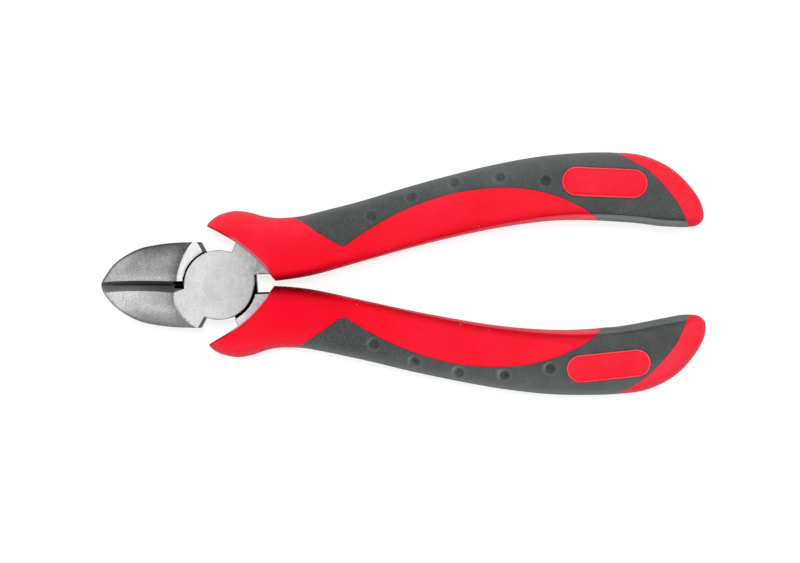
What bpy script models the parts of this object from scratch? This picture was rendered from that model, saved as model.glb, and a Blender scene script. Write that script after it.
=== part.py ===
"""Diagonal cutter with two-component handles.

Two forged levers cross in a lap joint on one flush rivet. Each lever carries
a jaw in front of the joint and a tang behind it. A hard plastic core sits on
each tang, a soft shell is moulded over the core, and oval plates fill the
shell's windows. Lengths below are millimetres; the pivot is the origin of the
design, X runs from the jaws to the handle ends along the cutting line.
"""

import math

import bmesh
import bpy
import numpy as np
from mathutils import Matrix

MM = 0.001
PIVOT = (-48.63, -3.0, 7.0)  # pivot, from the bottom centre of the bounding box

# head
HEAD_HALF = 5.0  # half thickness at the joint and neck
TIP_X = -31.5
JAW_REAR_X = -5.2
JAW_HALF_WIDTH = 11.35
JAW_RISE, JAW_FLARE = 2.9, 1.5  # exponents of the jaw's outer curve
SHOULDER = (-3.6, -8.5)
DISC_R = 9.2
LAP_GAP = 0.1  # half of the gap between the two lapped discs
CUTOUT_R = 9.65
NECK_CUTOUT_R = 10.0
HEEL_CUTOUT_R = 10.5
HEEL_X = 9.9  # straight rear edge of the lower disc
EDGE_LAND = 0.06  # each cutting edge stops this far from the cutting line
EDGE_HALF = 0.15
BEVEL_LOWER, BEVEL_UPPER = 1.85, 1.0  # width of the cutting bevels
RELIEF = (-11.95, -9.2, 0.95)  # slot behind the cutting edges: front, rear, depth
BLADE_DROP = [(11.6, 5.5), (13.15, 5.0), (14.6, 4.55), (17.5, 4.05), (22.0, 3.5), (27.0, 2.9), (33.0, 2.1)]

# rivet
RIVET_R = 3.0
RIVET_HEAD_R = 4.2
RIVET_CONE = 1.5
RIVET_CLEAR = 0.1

# handles, in the frame of the upper one
TILT = math.radians(1.75)
HANDLE_HALF = 7.0
GUARD_HALF = 6.4
GUARD_TIP_HALF = 5.2
LIP_HALF, LIP_WIDTH = 2.4, 1.2
GUARD_REAR_X = 16.0
OUTER = [(-3.3, 16.1), (0, 18.4), (4, 19.35), (8, 18.9), (12, 17.7), (16, 17.1), (21, 17.15), (26, 18.1), (38, 21.0), (50, 24.25), (62, 27.15), (74, 29.65), (86, 31.4), (97, 32.0), (106, 31.8), (112, 31.1), (118, 28.9), (122, 26.1), (126, 21.6), (128, 18.0), (128.7, 15.3)]
INNER = [(14.6, 1.05), (18, 1.2), (22, 1.7), (26, 2.4), (38, 5.35), (50, 8.3), (62, 10.95), (74, 13.2), (86, 14.55), (94, 14.85), (102, 14.5), (110, 13.6), (118, 12.4), (124, 11.95), (127, 12.4), (128.4, 13.7), (128.7, 15.3)]
FRONT = [(14.6, 1.05), (12, 4.2), (8, 8.35), (4, 11.45), (0, 13.9), (-3.3, 16.1)]
SEAM = [(20.8, 17.2), (26, 13.7), (30, 11.1), (31.9, 9.95), (32.7, 9.7), (33.5, 9.95), (36, 11.6), (42, 15.2), (50, 19.05), (58, 21.8), (66, 23.45), (74, 24.0), (82, 23.45), (90, 21.55), (98, 17.95), (102.5, 14.2)]
END_SEAM = [(124.6, 12.0), (122, 17.45), (118, 22.8), (114, 26.95), (110, 29.5), (106.3, 31.75)]
GRIP_WALL = 2.0
FIT = 0.3
LABEL = ((95.7, 24.85), (110.5, 24.0), 3.9)
DIMPLES = [(40.6, 16.95), (51.2, 21.9), (62.7, 25.1), (74.7, 26.2), (86.8, 24.8)]
DIMPLE_R, DIMPLE_DEPTH = 1.3, 0.6

# neck and tang, in the frame of the upper handle
NECK_INNER = [(8.85, 2.5), (15, 2.5), (19, 3.4), (23, 5.2)]
NECK_OUTER = [(23, 14.4), (14, 14.2), (8, 13.3), (5.4, 12.3), (4.75, 10.85), (3.65, 8.44)]
TANG_HALF = 3.0
TANG_LINE = [(20, 9.2), (26, 10.2), (38, 13.2), (50, 16.3), (62, 19.05), (74, 21.4), (86, 22.9), (98, 23.4), (103, 23.3)]
TANG_WIDTH = (4.4, 3.2)  # half widths at the neck and at the end


def curve(points, per_span=4):
    """Catmull-Rom curve through the points, with chord-length tangents."""
    p = np.array(points, float)
    t = np.r_[0, np.cumsum(np.sqrt(np.hypot(*np.diff(p, axis=0).T)))]
    slope = np.empty_like(p)
    slope[1:-1] = ((p[2:] - p[1:-1]) / (t[2:] - t[1:-1])[:, None] * (t[1:-1] - t[:-2])[:, None] + (p[1:-1] - p[:-2]) / (t[1:-1] - t[:-2])[:, None] * (t[2:] - t[1:-1])[:, None]) / (t[2:] - t[:-2])[:, None]
    slope[0] = (p[1] - p[0]) / (t[1] - t[0])
    slope[-1] = (p[-1] - p[-2]) / (t[-1] - t[-2])
    out = []
    for i in range(len(p) - 1):
        h = t[i + 1] - t[i]
        for s in np.arange(per_span) / per_span:
            out.append((2 * s**3 - 3 * s**2 + 1) * p[i] + (s**3 - 2 * s**2 + s) * h * slope[i] + (3 * s**2 - 2 * s**3) * p[i + 1] + (s**3 - s**2) * h * slope[i + 1])
    out.append(p[-1])
    return np.array(out)


def offset(line, by):
    """The line moved to its left by a distance."""
    d = np.gradient(line, axis=0)
    d /= np.hypot(d[:, 0], d[:, 1])[:, None]
    return line + by * np.c_[-d[:, 1], d[:, 0]]


def turned(points, angle):
    c, s = math.cos(angle), math.sin(angle)
    return [(x * c - y * s, x * s + y * c) for x, y in points]


def arc(radius, start, end, count):
    return [(radius * math.cos(a), radius * math.sin(a)) for a in np.linspace(math.radians(start), math.radians(end), count)]


def put(name, bm):
    mesh = bpy.data.meshes.new(name)
    bmesh.ops.recalc_face_normals(bm, faces=bm.faces)
    bm.to_mesh(mesh)
    bm.free()
    obj = bpy.data.objects.new(name, mesh)
    bpy.context.scene.collection.objects.link(obj)
    return obj


def prism(name, outline, z0, z1):
    """A closed outline extruded from z0 to z1."""
    bm = bmesh.new()
    face = bm.faces.new([bm.verts.new((x, y, z0)) for x, y in outline])
    top = bmesh.ops.extrude_face_region(bm, geom=[face])["geom"]
    bmesh.ops.translate(bm, verts=[v for v in top if isinstance(v, bmesh.types.BMVert)], vec=(0, 0, z1 - z0))
    return put(name, bm)


def loft(name, sections):
    """A skin over closed sections with equal point counts, capped at both ends."""
    bm = bmesh.new()
    rings = [[bm.verts.new(p) for p in section] for section in sections]
    for a, b in zip(rings, rings[1:]):
        for i in range(len(a)):
            j = (i + 1) % len(a)
            bm.faces.new((a[i], a[j], b[j], b[i]))
    bm.faces.new(rings[0])
    bm.faces.new(rings[-1])
    return put(name, bm)


def plate(name, rows):
    """A body with mirrored upper and lower skins over a grid of plan points and half heights."""
    bm = bmesh.new()
    top = [[bm.verts.new((x, y, z)) for x, y, z in row] for row in rows]
    low = [[bm.verts.new((x, y, -z)) for x, y, z in row] for row in rows]
    n, k = len(rows), len(rows[0])
    for i in range(n - 1):
        for j in range(k - 1):
            bm.faces.new((top[i][j], top[i + 1][j], top[i + 1][j + 1], top[i][j + 1]))
            bm.faces.new((low[i][j], low[i][j + 1], low[i + 1][j + 1], low[i + 1][j]))
        for j in (0, k - 1):
            bm.faces.new((top[i][j], low[i][j], low[i + 1][j], top[i + 1][j]))
    for i in (0, n - 1):
        for j in range(k - 1):
            bm.faces.new((top[i][j], top[i][j + 1], low[i][j + 1], low[i][j]))
    bmesh.ops.triangulate(bm, faces=bm.faces, quad_method="FIXED")
    return put(name, bm)


def boolean(obj, tool, operation="DIFFERENCE"):
    """Cuts with, joins or keeps what is inside the tool, and then drops the tool."""
    modifier = obj.modifiers.new(operation.lower(), "BOOLEAN")
    modifier.operation = operation
    modifier.solver = "EXACT"
    modifier.object = tool
    made = bpy.data.meshes.new_from_object(obj.evaluated_get(bpy.context.evaluated_depsgraph_get()))
    obj.modifiers.clear()
    obj.data = made
    bpy.data.objects.remove(tool)
    return obj


def copy_of(obj, name):
    twin = bpy.data.objects.new(name, obj.data.copy())
    bpy.context.scene.collection.objects.link(twin)
    return twin


def material(name, colour, roughness, metallic):
    made = bpy.data.materials.new(name)
    made.use_nodes = True
    shader = made.node_tree.nodes["Principled BSDF"]
    shader.inputs["Base Color"].default_value = (*colour, 1)
    shader.inputs["Roughness"].default_value = roughness
    shader.inputs["Metallic"].default_value = metallic
    return made


def finish(obj, parent, look, flip=False, tilt=0.0):
    """Scales a body to metres, shades it and hangs it on its half of the tool."""
    obj.data.transform(Matrix.Scale(MM, 4))
    obj.data.materials.clear()
    obj.data.materials.append(look)
    obj.data.shade_smooth()
    obj.data.set_sharp_from_angle(angle=math.radians(30))
    obj.parent = parent
    obj.rotation_euler = (math.pi if flip else 0, 0, tilt)


# ---------------------------------------------------------------- handles


def across(width, lip):
    """Distances from the inner edge and the half heights there, relative to the face."""
    low = HANDLE_HALF - LIP_HALF
    side = 2.2 + (low - 2.2) * lip
    step = max(0.25, LIP_WIDTH * lip)
    inner = [(0, side), (step, side - 0.05), (step + 0.25, 1.9), (step + 1.0, 0.6), (step + 2.2, 0)]
    outer = [(4.0, 0), (2.6, 0.35), (1.2, 1.3), (0.4, 2.6), (0, 4.0)]
    return [(d, z) for d, z in inner] + [(width - d, z) for d, z in outer]


def smooth(x, a, b):
    s = min(1.0, max(0.0, (x - a) / (b - a)))
    return s * s * (3 - 2 * s)


def handle_rows(wall=0.0, start=None, stop=None):
    """Rows of plan points and half heights along one handle, set in by a wall."""
    outer, inner, front = curve(OUTER), curve(INNER), curve(FRONT)
    split = np.searchsorted(outer[:, 0], 60)
    ahead = outer[:, 0] <= GUARD_REAR_X + 1e-6

    def rim(line, x):
        return float(np.interp(x, line[:, 0], line[:, 1]))

    rows = []
    if start is None:
        edge_u = np.linspace(0, 1, 6)
        side = outer[ahead]
        run = np.r_[0, np.cumsum(np.hypot(*np.diff(side, axis=0).T))]
        frun = np.r_[0, np.cumsum(np.hypot(*np.diff(front, axis=0).T))]
        base = np.array([GUARD_REAR_X, rim(inner, GUARD_REAR_X)]), np.array([GUARD_REAR_X, rim(outer, GUARD_REAR_X)])
        for u in edge_u[:-1]:
            lip = 0.0
            a = (1 - u) * front[0] + u * base[0]
            b = np.array([np.interp(u * run[-1], run, side[:, i]) for i in (0, 1)])
            width = float(np.hypot(*(b - a)))
            row = []
            for d, z in across(width, lip):
                v = d / width
                f = np.array([np.interp(v * frun[-1], frun, front[:, i]) for i in (0, 1)])
                g = (1 - v) * base[0] + v * base[1]
                p = (1 - u) * f + u * g + (1 - v) * a + v * b - ((1 - u) * (1 - v) * front[0] + u * (1 - v) * base[0] + (1 - u) * v * front[-1] + u * v * base[1])
                tall = GUARD_HALF - (GUARD_HALF - GUARD_TIP_HALF) * (1 - smooth(p[0], -4, 8))
                row.append((p[0], p[1], tall - z * 0.8))
            rows.append(row)
    first = GUARD_REAR_X if start is None else start
    stations = [x for x in (16, 19, 22, 26, 30, 34, 40, 46, 52, 58, 64, 70, 76, 82, 88, 94, 100, 106, 111, 115, 118.5, 121.5, 124, 126, 127.4, 128.3) if first <= x <= (stop or 128.3)]
    for x in stations:
        low, high = rim(inner, x) + wall, rim(outer, x) - wall
        tall = GUARD_HALF + (HANDLE_HALF - GUARD_HALF) * smooth(x, 14, 36) - 2.6 * smooth(x, 121, 130) - wall
        lip = smooth(x, 25, 33) if not wall else 0.0
        width = high - low
        scale = min(1.0, width / 9.0)
        row = []
        for d, z in across(width / scale, lip):
            row.append((x, low + d * scale, max(tall - z * (1 if not wall else 0.7), 1.5)))
        rows.append(row)
    return rows


def grip_outline(gap=0.0):
    """The soft shell's plan: seams on the handle's faces, closed outside its edges."""
    seam = offset(curve(SEAM, 2), gap)
    end = offset(curve(END_SEAM, 2), gap)

    def beyond(a, b, reach):
        d = (a - b) / np.hypot(*(a - b))
        return a + reach * d

    pts = [beyond(seam[0], seam[1], 4.0), *seam, beyond(seam[-1], seam[-2], 4.0), (113, 6)]
    pts += [beyond(end[0], end[1], 4.0), *end, beyond(end[-1], end[-2], 4.0), (80, 38), (40, 30)]
    return [(float(x), float(y)) for x, y in pts]


def stadium(grow=0.0, count=9):
    (x0, y0), (x1, y1), r = LABEL
    lean = math.degrees(math.atan2(y1 - y0, x1 - x0))
    ends = [(x0 + x, y0 + y) for x, y in arc(r + grow, lean + 90, lean + 270, count)]
    return ends + [(x1 + x, y1 + y) for x, y in arc(r + grow, lean - 90, lean + 90, count)]


def tang_outline(grow=0.0):
    line = curve(TANG_LINE, 1)
    half = np.linspace(*TANG_WIDTH, len(line)) + grow
    d = np.gradient(line, axis=0)
    d /= np.hypot(d[:, 0], d[:, 1])[:, None]
    side = np.c_[-d[:, 1], d[:, 0]]
    end = line[-1] + d[-1] * (1.2 + grow)
    low, high = line - side * half[:, None], line + side * half[:, None]
    nose = [end - side[-1] * half[-1] * 0.6, end + side[-1] * half[-1] * 0.6]
    return [tuple(map(float, p)) for p in [*low, *nose, *high[::-1]]]


def make_core():
    core = plate("core", handle_rows())
    pocket = prism("pocket", grip_outline(0.0), -20, 20)
    boolean(pocket, plate("block", handle_rows(GRIP_WALL + FIT / 2, 16, 127.4)))
    boolean(core, pocket)
    socket = [(9, 2.15), (15, 2.15), (19.2, 3.0), (23.4, 4.9), (23.4, 14.75), (14, 14.55), (7.9, 13.65), (5.1, 12.65), (4.3, 10.9), (2.5, 6.5)]
    boolean(core, prism("neck_socket", socket, -HEAD_HALF - FIT, HEAD_HALF + FIT))
    return boolean(core, prism("tang_socket", tang_outline(FIT), -TANG_HALF - FIT, TANG_HALF + FIT))


def make_grip():
    grip = plate("grip", handle_rows())
    boolean(grip, prism("seams", grip_outline(FIT), -20, 20), "INTERSECT")
    boolean(grip, plate("block", handle_rows(GRIP_WALL - FIT / 2, 16, 127.4)))
    for z0, z1 in ((3, 20), (-20, -3)):
        boolean(grip, prism("window", stadium(FIT), z0, z1))
    for x, y in DIMPLES:
        for z0, z1 in ((HANDLE_HALF - DIMPLE_DEPTH, 20), (-20, DIMPLE_DEPTH - HANDLE_HALF)):
            boolean(grip, prism("dimple", [(x + a, y + b) for a, b in arc(DIMPLE_R, 0, 330, 12)], z0, z1))
    return grip


def make_label():
    label = plate("label", handle_rows())
    return boolean(label, prism("oval", stadium(), HANDLE_HALF - GRIP_WALL + FIT / 2, 20), "INTERSECT")


# ---------------------------------------------------------------- levers


def jaw_edge(count=13):
    """Outer edge of a jaw from the tip to its rear corner."""
    out = []
    for a in np.linspace(math.pi / 2, 0.0, count):
        t = math.sin(a) if a < 1.5 else 1.0
        y = JAW_HALF_WIDTH * max(0.0, 1 - t**JAW_RISE) ** (1 / JAW_FLARE)
        out.append((JAW_REAR_X + (TIP_X - JAW_REAR_X) * t, -max(y, EDGE_LAND)))
    return out


def spin_cutter(name, profile, start, end, steps):
    """A turned ring sector over a profile of radius and height, open to above."""
    bm = bmesh.new()
    pts = [bm.verts.new((r, 0, z)) for r, z in profile + [(profile[-1][0], 14.0), (profile[0][0], 14.0)]]
    face = bm.faces.new(pts)
    turn = Matrix.Rotation(math.radians(start), 3, "Z")
    bmesh.ops.rotate(bm, verts=pts, cent=(0, 0, 0), matrix=turn)
    bmesh.ops.spin(bm, geom=[face, *face.edges, *pts], cent=(0, 0, 0), axis=(0, 0, 1), angle=math.radians(end - start), steps=steps, use_merge=False)
    return put(name, bm)


def mirrored_z(obj, name):
    twin = copy_of(obj, name)
    twin.data.transform(Matrix.Scale(-1, 4, (0, 0, 1)))
    twin.data.flip_normals()
    return twin


def bevel_cutter(name, width):
    """A wedge along the cutting line that leaves a bevel from the edge up to the blade's face."""
    sections = []
    for x, face in ((-33, 2.0), (-26, 3.0), (-18, 3.98), (-11.5, 5.6)):
        y0 = -EDGE_LAND
        lift = (width - EDGE_LAND) / (face - EDGE_HALF)
        sections.append([(x, 1.0, EDGE_HALF), (x, y0, EDGE_HALF), (x, y0 - lift * (9 - EDGE_HALF), 9.0), (x, 1.0, 9.0)])
    return loft(name, sections)


def make_lever(name, tilt, bevel, heel):
    """One lever with its jaw below the cutting line, its disc above the lap and its tang above the axis."""
    neck_in, neck_out = turned(NECK_INNER, tilt), turned(NECK_OUTER, tilt)
    lean = math.degrees(tilt)
    outline = jaw_edge() + [SHOULDER]
    low = math.degrees(math.atan2(SHOULDER[1], SHOULDER[0])) + 360
    if heel:
        a = math.degrees(math.asin(2.8 / DISC_R))
        outline += arc(DISC_R, low + 7, 360 - a - 4, 13) + [(HEEL_X - 0.3, -2.75)]
        outline += [(HEEL_X + 0.2, neck_in[1][1] + 0.02 - (neck_in[1][1] - neck_in[0][1]))]
        outline += neck_in[1:]
    else:
        outline += arc(DISC_R, low + 7, 360 + 15.0 + lean, 17) + [neck_in[0]] + neck_in[1:]
    outline += neck_out[:-1]
    outline += arc(DISC_R, 66.6 + lean, 175.9, 13)
    front, rear, depth = RELIEF
    outline += [(rear, -depth), (front + 1.0, -depth), (front + 0.3, -depth + 0.3), (front, -depth + 0.7), (front, -EDGE_LAND)]
    lever = prism(name, outline, -HEAD_HALF, HEAD_HALF)
    boolean(lever, prism("tang", turned(tang_outline(), tilt), -TANG_HALF, TANG_HALF), "UNION")
    rear_r = NECK_CUTOUT_R if heel else HEEL_CUTOUT_R
    hollow = arc(rear_r, -60, 110, 22) + arc(CUTOUT_R, 114, 296, 24)
    boolean(lever, prism("lap", hollow, -14, LAP_GAP))
    drop = spin_cutter("drop", BLADE_DROP, 104, 256, 22)
    low_drop = mirrored_z(drop, "low_drop")
    boolean(lever, drop)
    boolean(lever, low_drop)
    wedge = bevel_cutter("wedge", bevel)
    low_wedge = mirrored_z(wedge, "low_wedge")
    boolean(lever, wedge)
    boolean(lever, low_wedge)
    r, h = RIVET_R + RIVET_CLEAR, RIVET_HEAD_R + RIVET_CLEAR
    slope = (h - r) / RIVET_CONE
    bore = [(h + slope, 6.0 + 0.0), (r, HEAD_HALF - RIVET_CONE), (r, RIVET_CONE - HEAD_HALF), (h + slope, -6.0)]
    rings = [[(x, y, z) for x, y in arc(rad, 0, 345, 24)] for rad, z in bore]
    return boolean(lever, loft("bore", rings))


def make_rivet():
    rings = [[(x, y, z) for x, y in arc(rad, 0, 345, 24)] for rad, z in ((RIVET_HEAD_R, HEAD_HALF), (RIVET_R, HEAD_HALF - RIVET_CONE), (RIVET_R, RIVET_CONE - HEAD_HALF), (RIVET_HEAD_R, -HEAD_HALF))]
    return loft("pivot_rivet", rings)


# ---------------------------------------------------------------- assembly

for old in list(bpy.data.objects):
    bpy.data.objects.remove(old)

halves = []
for half in ("fixed_half", "moving_half"):
    empty = bpy.data.objects.new(half, None)
    empty.location = [v * MM for v in PIVOT]
    bpy.context.scene.collection.objects.link(empty)
    halves.append(empty)
fixed, moving = halves

STEEL = dict(colour=(0.62, 0.62, 0.6), roughness=0.38, metallic=1.0)
RED = dict(colour=(0.72, 0.03, 0.035), roughness=0.45, metallic=0.0)
SOFT = dict(colour=(0.07, 0.08, 0.08), roughness=0.75, metallic=0.0)

finish(make_lever("lower_jaw_lever", TILT, BEVEL_LOWER, False), fixed, material("lower_jaw_steel", **STEEL))
finish(make_lever("upper_jaw_lever", -TILT, BEVEL_UPPER, True), moving, material("upper_jaw_steel", **STEEL), flip=True)
finish(make_rivet(), fixed, material("rivet_steel", **STEEL))

core, grip, label = make_core(), make_grip(), make_label()
label_back = copy_of(label, "label_back")
label_back.data.transform(Matrix.Scale(-1, 4, (0, 0, 1)))
label_back.data.flip_normals()
for side, parent, flip in (("upper", fixed, False), ("lower", moving, True)):
    front, back = (label_back, label) if flip else (label, label_back)
    for source, node, look in ((core, "handle_core", RED), (grip, "soft_grip", SOFT), (front, "label_inlay_front", RED), (back, "label_inlay_back", RED)):
        finish(copy_of(source, f"{side}_{node}"), parent, material(f"{side}_{node}_look", **look), flip=flip, tilt=TILT)
for source in (core, grip, label, label_back):
    bpy.data.objects.remove(source)
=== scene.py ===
import math

import bmesh
import bpy
import numpy as np
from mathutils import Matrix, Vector
from mathutils.geometry import delaunay_2d_cdt


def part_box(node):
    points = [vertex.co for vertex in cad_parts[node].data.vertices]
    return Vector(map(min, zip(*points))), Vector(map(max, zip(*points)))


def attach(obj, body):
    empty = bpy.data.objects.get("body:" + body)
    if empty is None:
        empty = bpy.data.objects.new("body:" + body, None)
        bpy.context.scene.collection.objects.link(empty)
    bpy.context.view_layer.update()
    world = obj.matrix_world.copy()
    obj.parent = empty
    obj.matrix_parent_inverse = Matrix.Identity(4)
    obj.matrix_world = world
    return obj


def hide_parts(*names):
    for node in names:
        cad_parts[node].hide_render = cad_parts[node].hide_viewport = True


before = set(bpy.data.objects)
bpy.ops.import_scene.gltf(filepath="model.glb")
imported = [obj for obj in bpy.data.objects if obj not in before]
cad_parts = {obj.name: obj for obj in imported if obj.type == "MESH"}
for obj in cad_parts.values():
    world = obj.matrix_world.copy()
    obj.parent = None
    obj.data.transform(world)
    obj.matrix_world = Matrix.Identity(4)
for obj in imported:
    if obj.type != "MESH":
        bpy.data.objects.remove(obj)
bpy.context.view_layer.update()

MM = 0.001

# ------------------------------------------------------------------ dimensions, mm, from the pivot
PIVOT = np.array([-48.63, -3.0, 7.0])
TILT = math.radians(1.75)

HEAD_HALF = 5.0
TIP_X, JAW_REAR_X, JAW_HALF_WIDTH = -31.5, -4.8, 11.35
JAW_RISE, JAW_FLARE, SHOULDER = 2.9, 1.5, 249
DISC_R, CUTOUT_R, NECK_CUTOUT_R, HEEL_CUTOUT_R, HEEL_X = 9.2, 9.65, 10.0, 10.5, 9.9
LAP = 0.1
EDGE_Y, EDGE_Z = 0.002, 0.15
SLOT_FRONT, SLOT_DEPTH, SLOT_WEB = -11.95, 0.95, 0.3
RIVET_R, RIVET_HEAD_R, RIVET_CONE = 3.0, 4.2, 1.5

HANDLE_HALF, GUARD_HALF, GUARD_TIP_HALF = 6.9, 6.4, 5.2
OUTER = [(-3.35, 15.7), (-3.1, 16.3), (-1.8, 17.5), (0, 18.6), (4, 19.55), (8, 19.1), (12, 17.9), (16, 17.3), (21, 17.35), (26, 18.3), (38, 21.2), (50, 24.45), (62, 27.35), (74, 29.85), (86, 31.6), (97, 32.2), (106, 32.1), (112, 31.4), (118, 29.05), (122, 26.25), (126, 21.75), (128.1, 18.1), (128.85, 15.3)]
INNER = [(14.55, 0.65), (18, 0.95), (22, 1.46), (26, 2.2), (38, 5.2), (50, 8.17), (62, 10.82), (74, 13.07), (86, 14.42), (94, 14.72), (102, 14.37), (110, 13.42), (118, 12.12), (124, 11.6), (127, 12.05), (128.5, 13.5), (128.85, 15.3)]
FRONT = [(14.55, 0.65), (12, 4.1), (8, 8.3), (4, 11.45), (0, 13.9), (-2.75, 15.4), (-3.35, 15.7)]
GRIP_WALL, FIT, HAIRLINE = 2.0, 0.3, 0.012

# the two handles are alike, but their seams and windows are not quite in the same place
SHIFT = {"upper": (0.4, 0.0), "lower": (0.05, -0.03)}
SEAM = {
    "upper": [(19.9, 17.1), (21.5, 16.3), (26, 13.2), (30, 10.6), (31.9, 9.45), (32.7, 9.2), (33.5, 9.45), (36, 11.13), (42, 14.73), (50, 18.55), (58, 21.25), (66, 22.83), (74, 23.35), (82, 22.75), (90, 20.55), (96, 17.75), (99.6, 15.4), (101.2, 13.6)],
    "lower": [(20.3, 17.15), (21.8, 16.25), (26, 13.5), (30, 10.95), (31.9, 9.8), (32.7, 9.55), (33.5, 9.8), (36, 11.45), (42, 15.05), (50, 18.9), (58, 21.65), (66, 23.3), (74, 23.85), (82, 23.3), (90, 21.2), (96, 18.4), (99.4, 16.0), (100.9, 14.2)],
}
END_SEAM = {
    "upper": [(124.2, 12.1), (121.6, 17.6), (117.6, 22.95), (113.6, 27.1), (109.6, 29.65), (105.9, 31.85)],
    "lower": [(123.7, 11.9), (123.2, 13.2), (120.8, 18.2), (117.8, 22.1), (112.8, 27.1), (108.5, 29.9), (105.6, 31.7)],
}
LABEL = {"upper": ((94.86, 24.49), (109.77, 23.41), 3.88), "lower": ((94.75, 25.04), (109.66, 23.94), 3.68)}
DIMPLES = [(40.6, 16.95), (51.2, 21.9), (62.7, 25.1), (74.7, 26.2), (86.8, 24.8)]
DIMPLE_R, DIMPLE_DEPTH = 1.5, 0.65

NECK_INNER = [(9.5, 2.5), (15, 2.5), (19, 3.4), (23, 5.2)]
NECK_OUTER = [(23, 14.4), (14, 14.2), (8, 13.3), (5.4, 12.3), (4.75, 10.85), (3.65, 8.44)]
TANG_HALF = 3.0
TANG_LINE = [(23.5, 9.75), (26, 10.2), (38, 13.2), (50, 16.3), (62, 19.05), (74, 21.4), (86, 22.9), (98, 23.4), (103, 23.3)]
TANG_WIDTH = (4.3, 3.2)


# ------------------------------------------------------------------ plane geometry
def spline(points, step):
    """Smooth curve through the points, sampled evenly along its length."""
    p = np.array(points, float)
    t = np.r_[0, np.cumsum(np.sqrt(np.hypot(*np.diff(p, axis=0).T)))]
    d = np.diff(p, axis=0) / np.diff(t)[:, None]
    slope = np.empty_like(p)
    w0, w1 = np.diff(t)[1:, None], np.diff(t)[:-1, None]
    slope[1:-1] = (d[:-1] * w0 + d[1:] * w1) / (w0 + w1)
    slope[0], slope[-1] = d[0], d[-1]
    out = []
    s = np.linspace(0, 1, 24, endpoint=False)[:, None]
    for i in range(len(p) - 1):
        h = t[i + 1] - t[i]
        out.append((2 * s**3 - 3 * s**2 + 1) * p[i] + (s**3 - 2 * s**2 + s) * h * slope[i] + (3 * s**2 - 2 * s**3) * p[i + 1] + (s**3 - s**2) * h * slope[i + 1])
    return evenly(np.vstack([*out, p[-1:]]), step)


def evenly(line, step):
    run = np.r_[0, np.cumsum(np.hypot(*np.diff(line, axis=0).T))]
    n = max(2, int(round(run[-1] / step)) + 1)
    at = np.linspace(0, run[-1], n)
    return np.c_[np.interp(at, run, line[:, 0]), np.interp(at, run, line[:, 1])]


def arc(radius, start, end, step, centre=(0, 0)):
    n = max(2, int(abs(math.radians(end - start)) * radius / step) + 1)
    a = np.radians(np.linspace(start, end, n))
    return np.c_[centre[0] + radius * np.cos(a), centre[1] + radius * np.sin(a)]


def rotate(points, angle):
    p = np.atleast_2d(np.array(points, float))
    c, s = math.cos(angle), math.sin(angle)
    return np.c_[p[:, 0] * c - p[:, 1] * s, p[:, 0] * s + p[:, 1] * c]


def normals(line, closed=False):
    """Unit normals to the left of a line."""
    if closed:
        d = np.roll(line, -1, 0) - np.roll(line, 1, 0)
    else:
        d = np.gradient(line, axis=0)
    d = d / np.maximum(np.hypot(d[:, 0], d[:, 1]), 1e-12)[:, None]
    return np.c_[-d[:, 1], d[:, 0]]


def distance(points, line):
    """Distance from each point to a polyline."""
    p = np.atleast_2d(points)
    a, b = line[:-1], line[1:]
    ab = b - a
    length = np.maximum((ab**2).sum(1), 1e-18)
    out = np.empty(len(p))
    for i in range(0, len(p), 2000):
        q = p[i : i + 2000, None, :] - a[None]
        u = np.clip((q * ab[None]).sum(2) / length, 0, 1)
        out[i : i + 2000] = np.sqrt(((q - u[..., None] * ab[None]) ** 2).sum(2).min(1))
    return out


def inside(points, loop):
    """True where a point is inside a closed loop."""
    p = np.atleast_2d(points)
    a, b = loop, np.roll(loop, -1, 0)
    out = np.zeros(len(p), bool)
    for i in range(0, len(p), 4000):
        x, y = p[i : i + 4000, 0:1], p[i : i + 4000, 1:2]
        cross = (a[:, 1] > y) != (b[:, 1] > y)
        with np.errstate(divide="ignore", invalid="ignore"):
            at = (b[:, 0] - a[:, 0]) * (y - a[:, 1]) / (b[:, 1] - a[:, 1]) + a[:, 0]
        out[i : i + 4000] = (cross & (x < at)).sum(1) % 2 == 1
    return out


def smooth(x, a, b):
    s = np.clip((np.asarray(x, float) - a) / (b - a), 0, 1)
    return s * s * (3 - 2 * s)


def close(line):
    return np.vstack([line, line[:1]])


def triangulate(loops, lines=(), points=()):
    """Triangles over the region inside the first loop and outside the others, with lines kept as edges."""
    verts, edges = [], []
    for loop in loops:
        n = len(verts)
        verts += [tuple(p) for p in loop]
        edges += [(n + i, n + (i + 1) % len(loop)) for i in range(len(loop))]
    for line in lines:
        n = len(verts)
        verts += [tuple(p) for p in line]
        edges += [(n + i, n + i + 1) for i in range(len(line) - 1)]
    verts += [tuple(p) for p in points]
    made = delaunay_2d_cdt([Vector(v) for v in verts], edges, [], 0, 1e-6)
    p = np.round(np.array([v[:] for v in made[0]], float), 3)
    t = np.array(made[2], int)
    mid = p[t].mean(1)
    keep = inside(mid, np.array(loops[0]))
    for hole in loops[1:]:
        keep &= ~inside(mid, np.array(hole))
    t = t[keep]
    e1, e2 = p[t[:, 1]] - p[t[:, 0]], p[t[:, 2]] - p[t[:, 0]]
    area = e1[:, 0] * e2[:, 1] - e1[:, 1] * e2[:, 0]
    t[area < 0] = t[area < 0][:, ::-1]
    return p, t[np.abs(area) > 1e-9]


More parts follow.
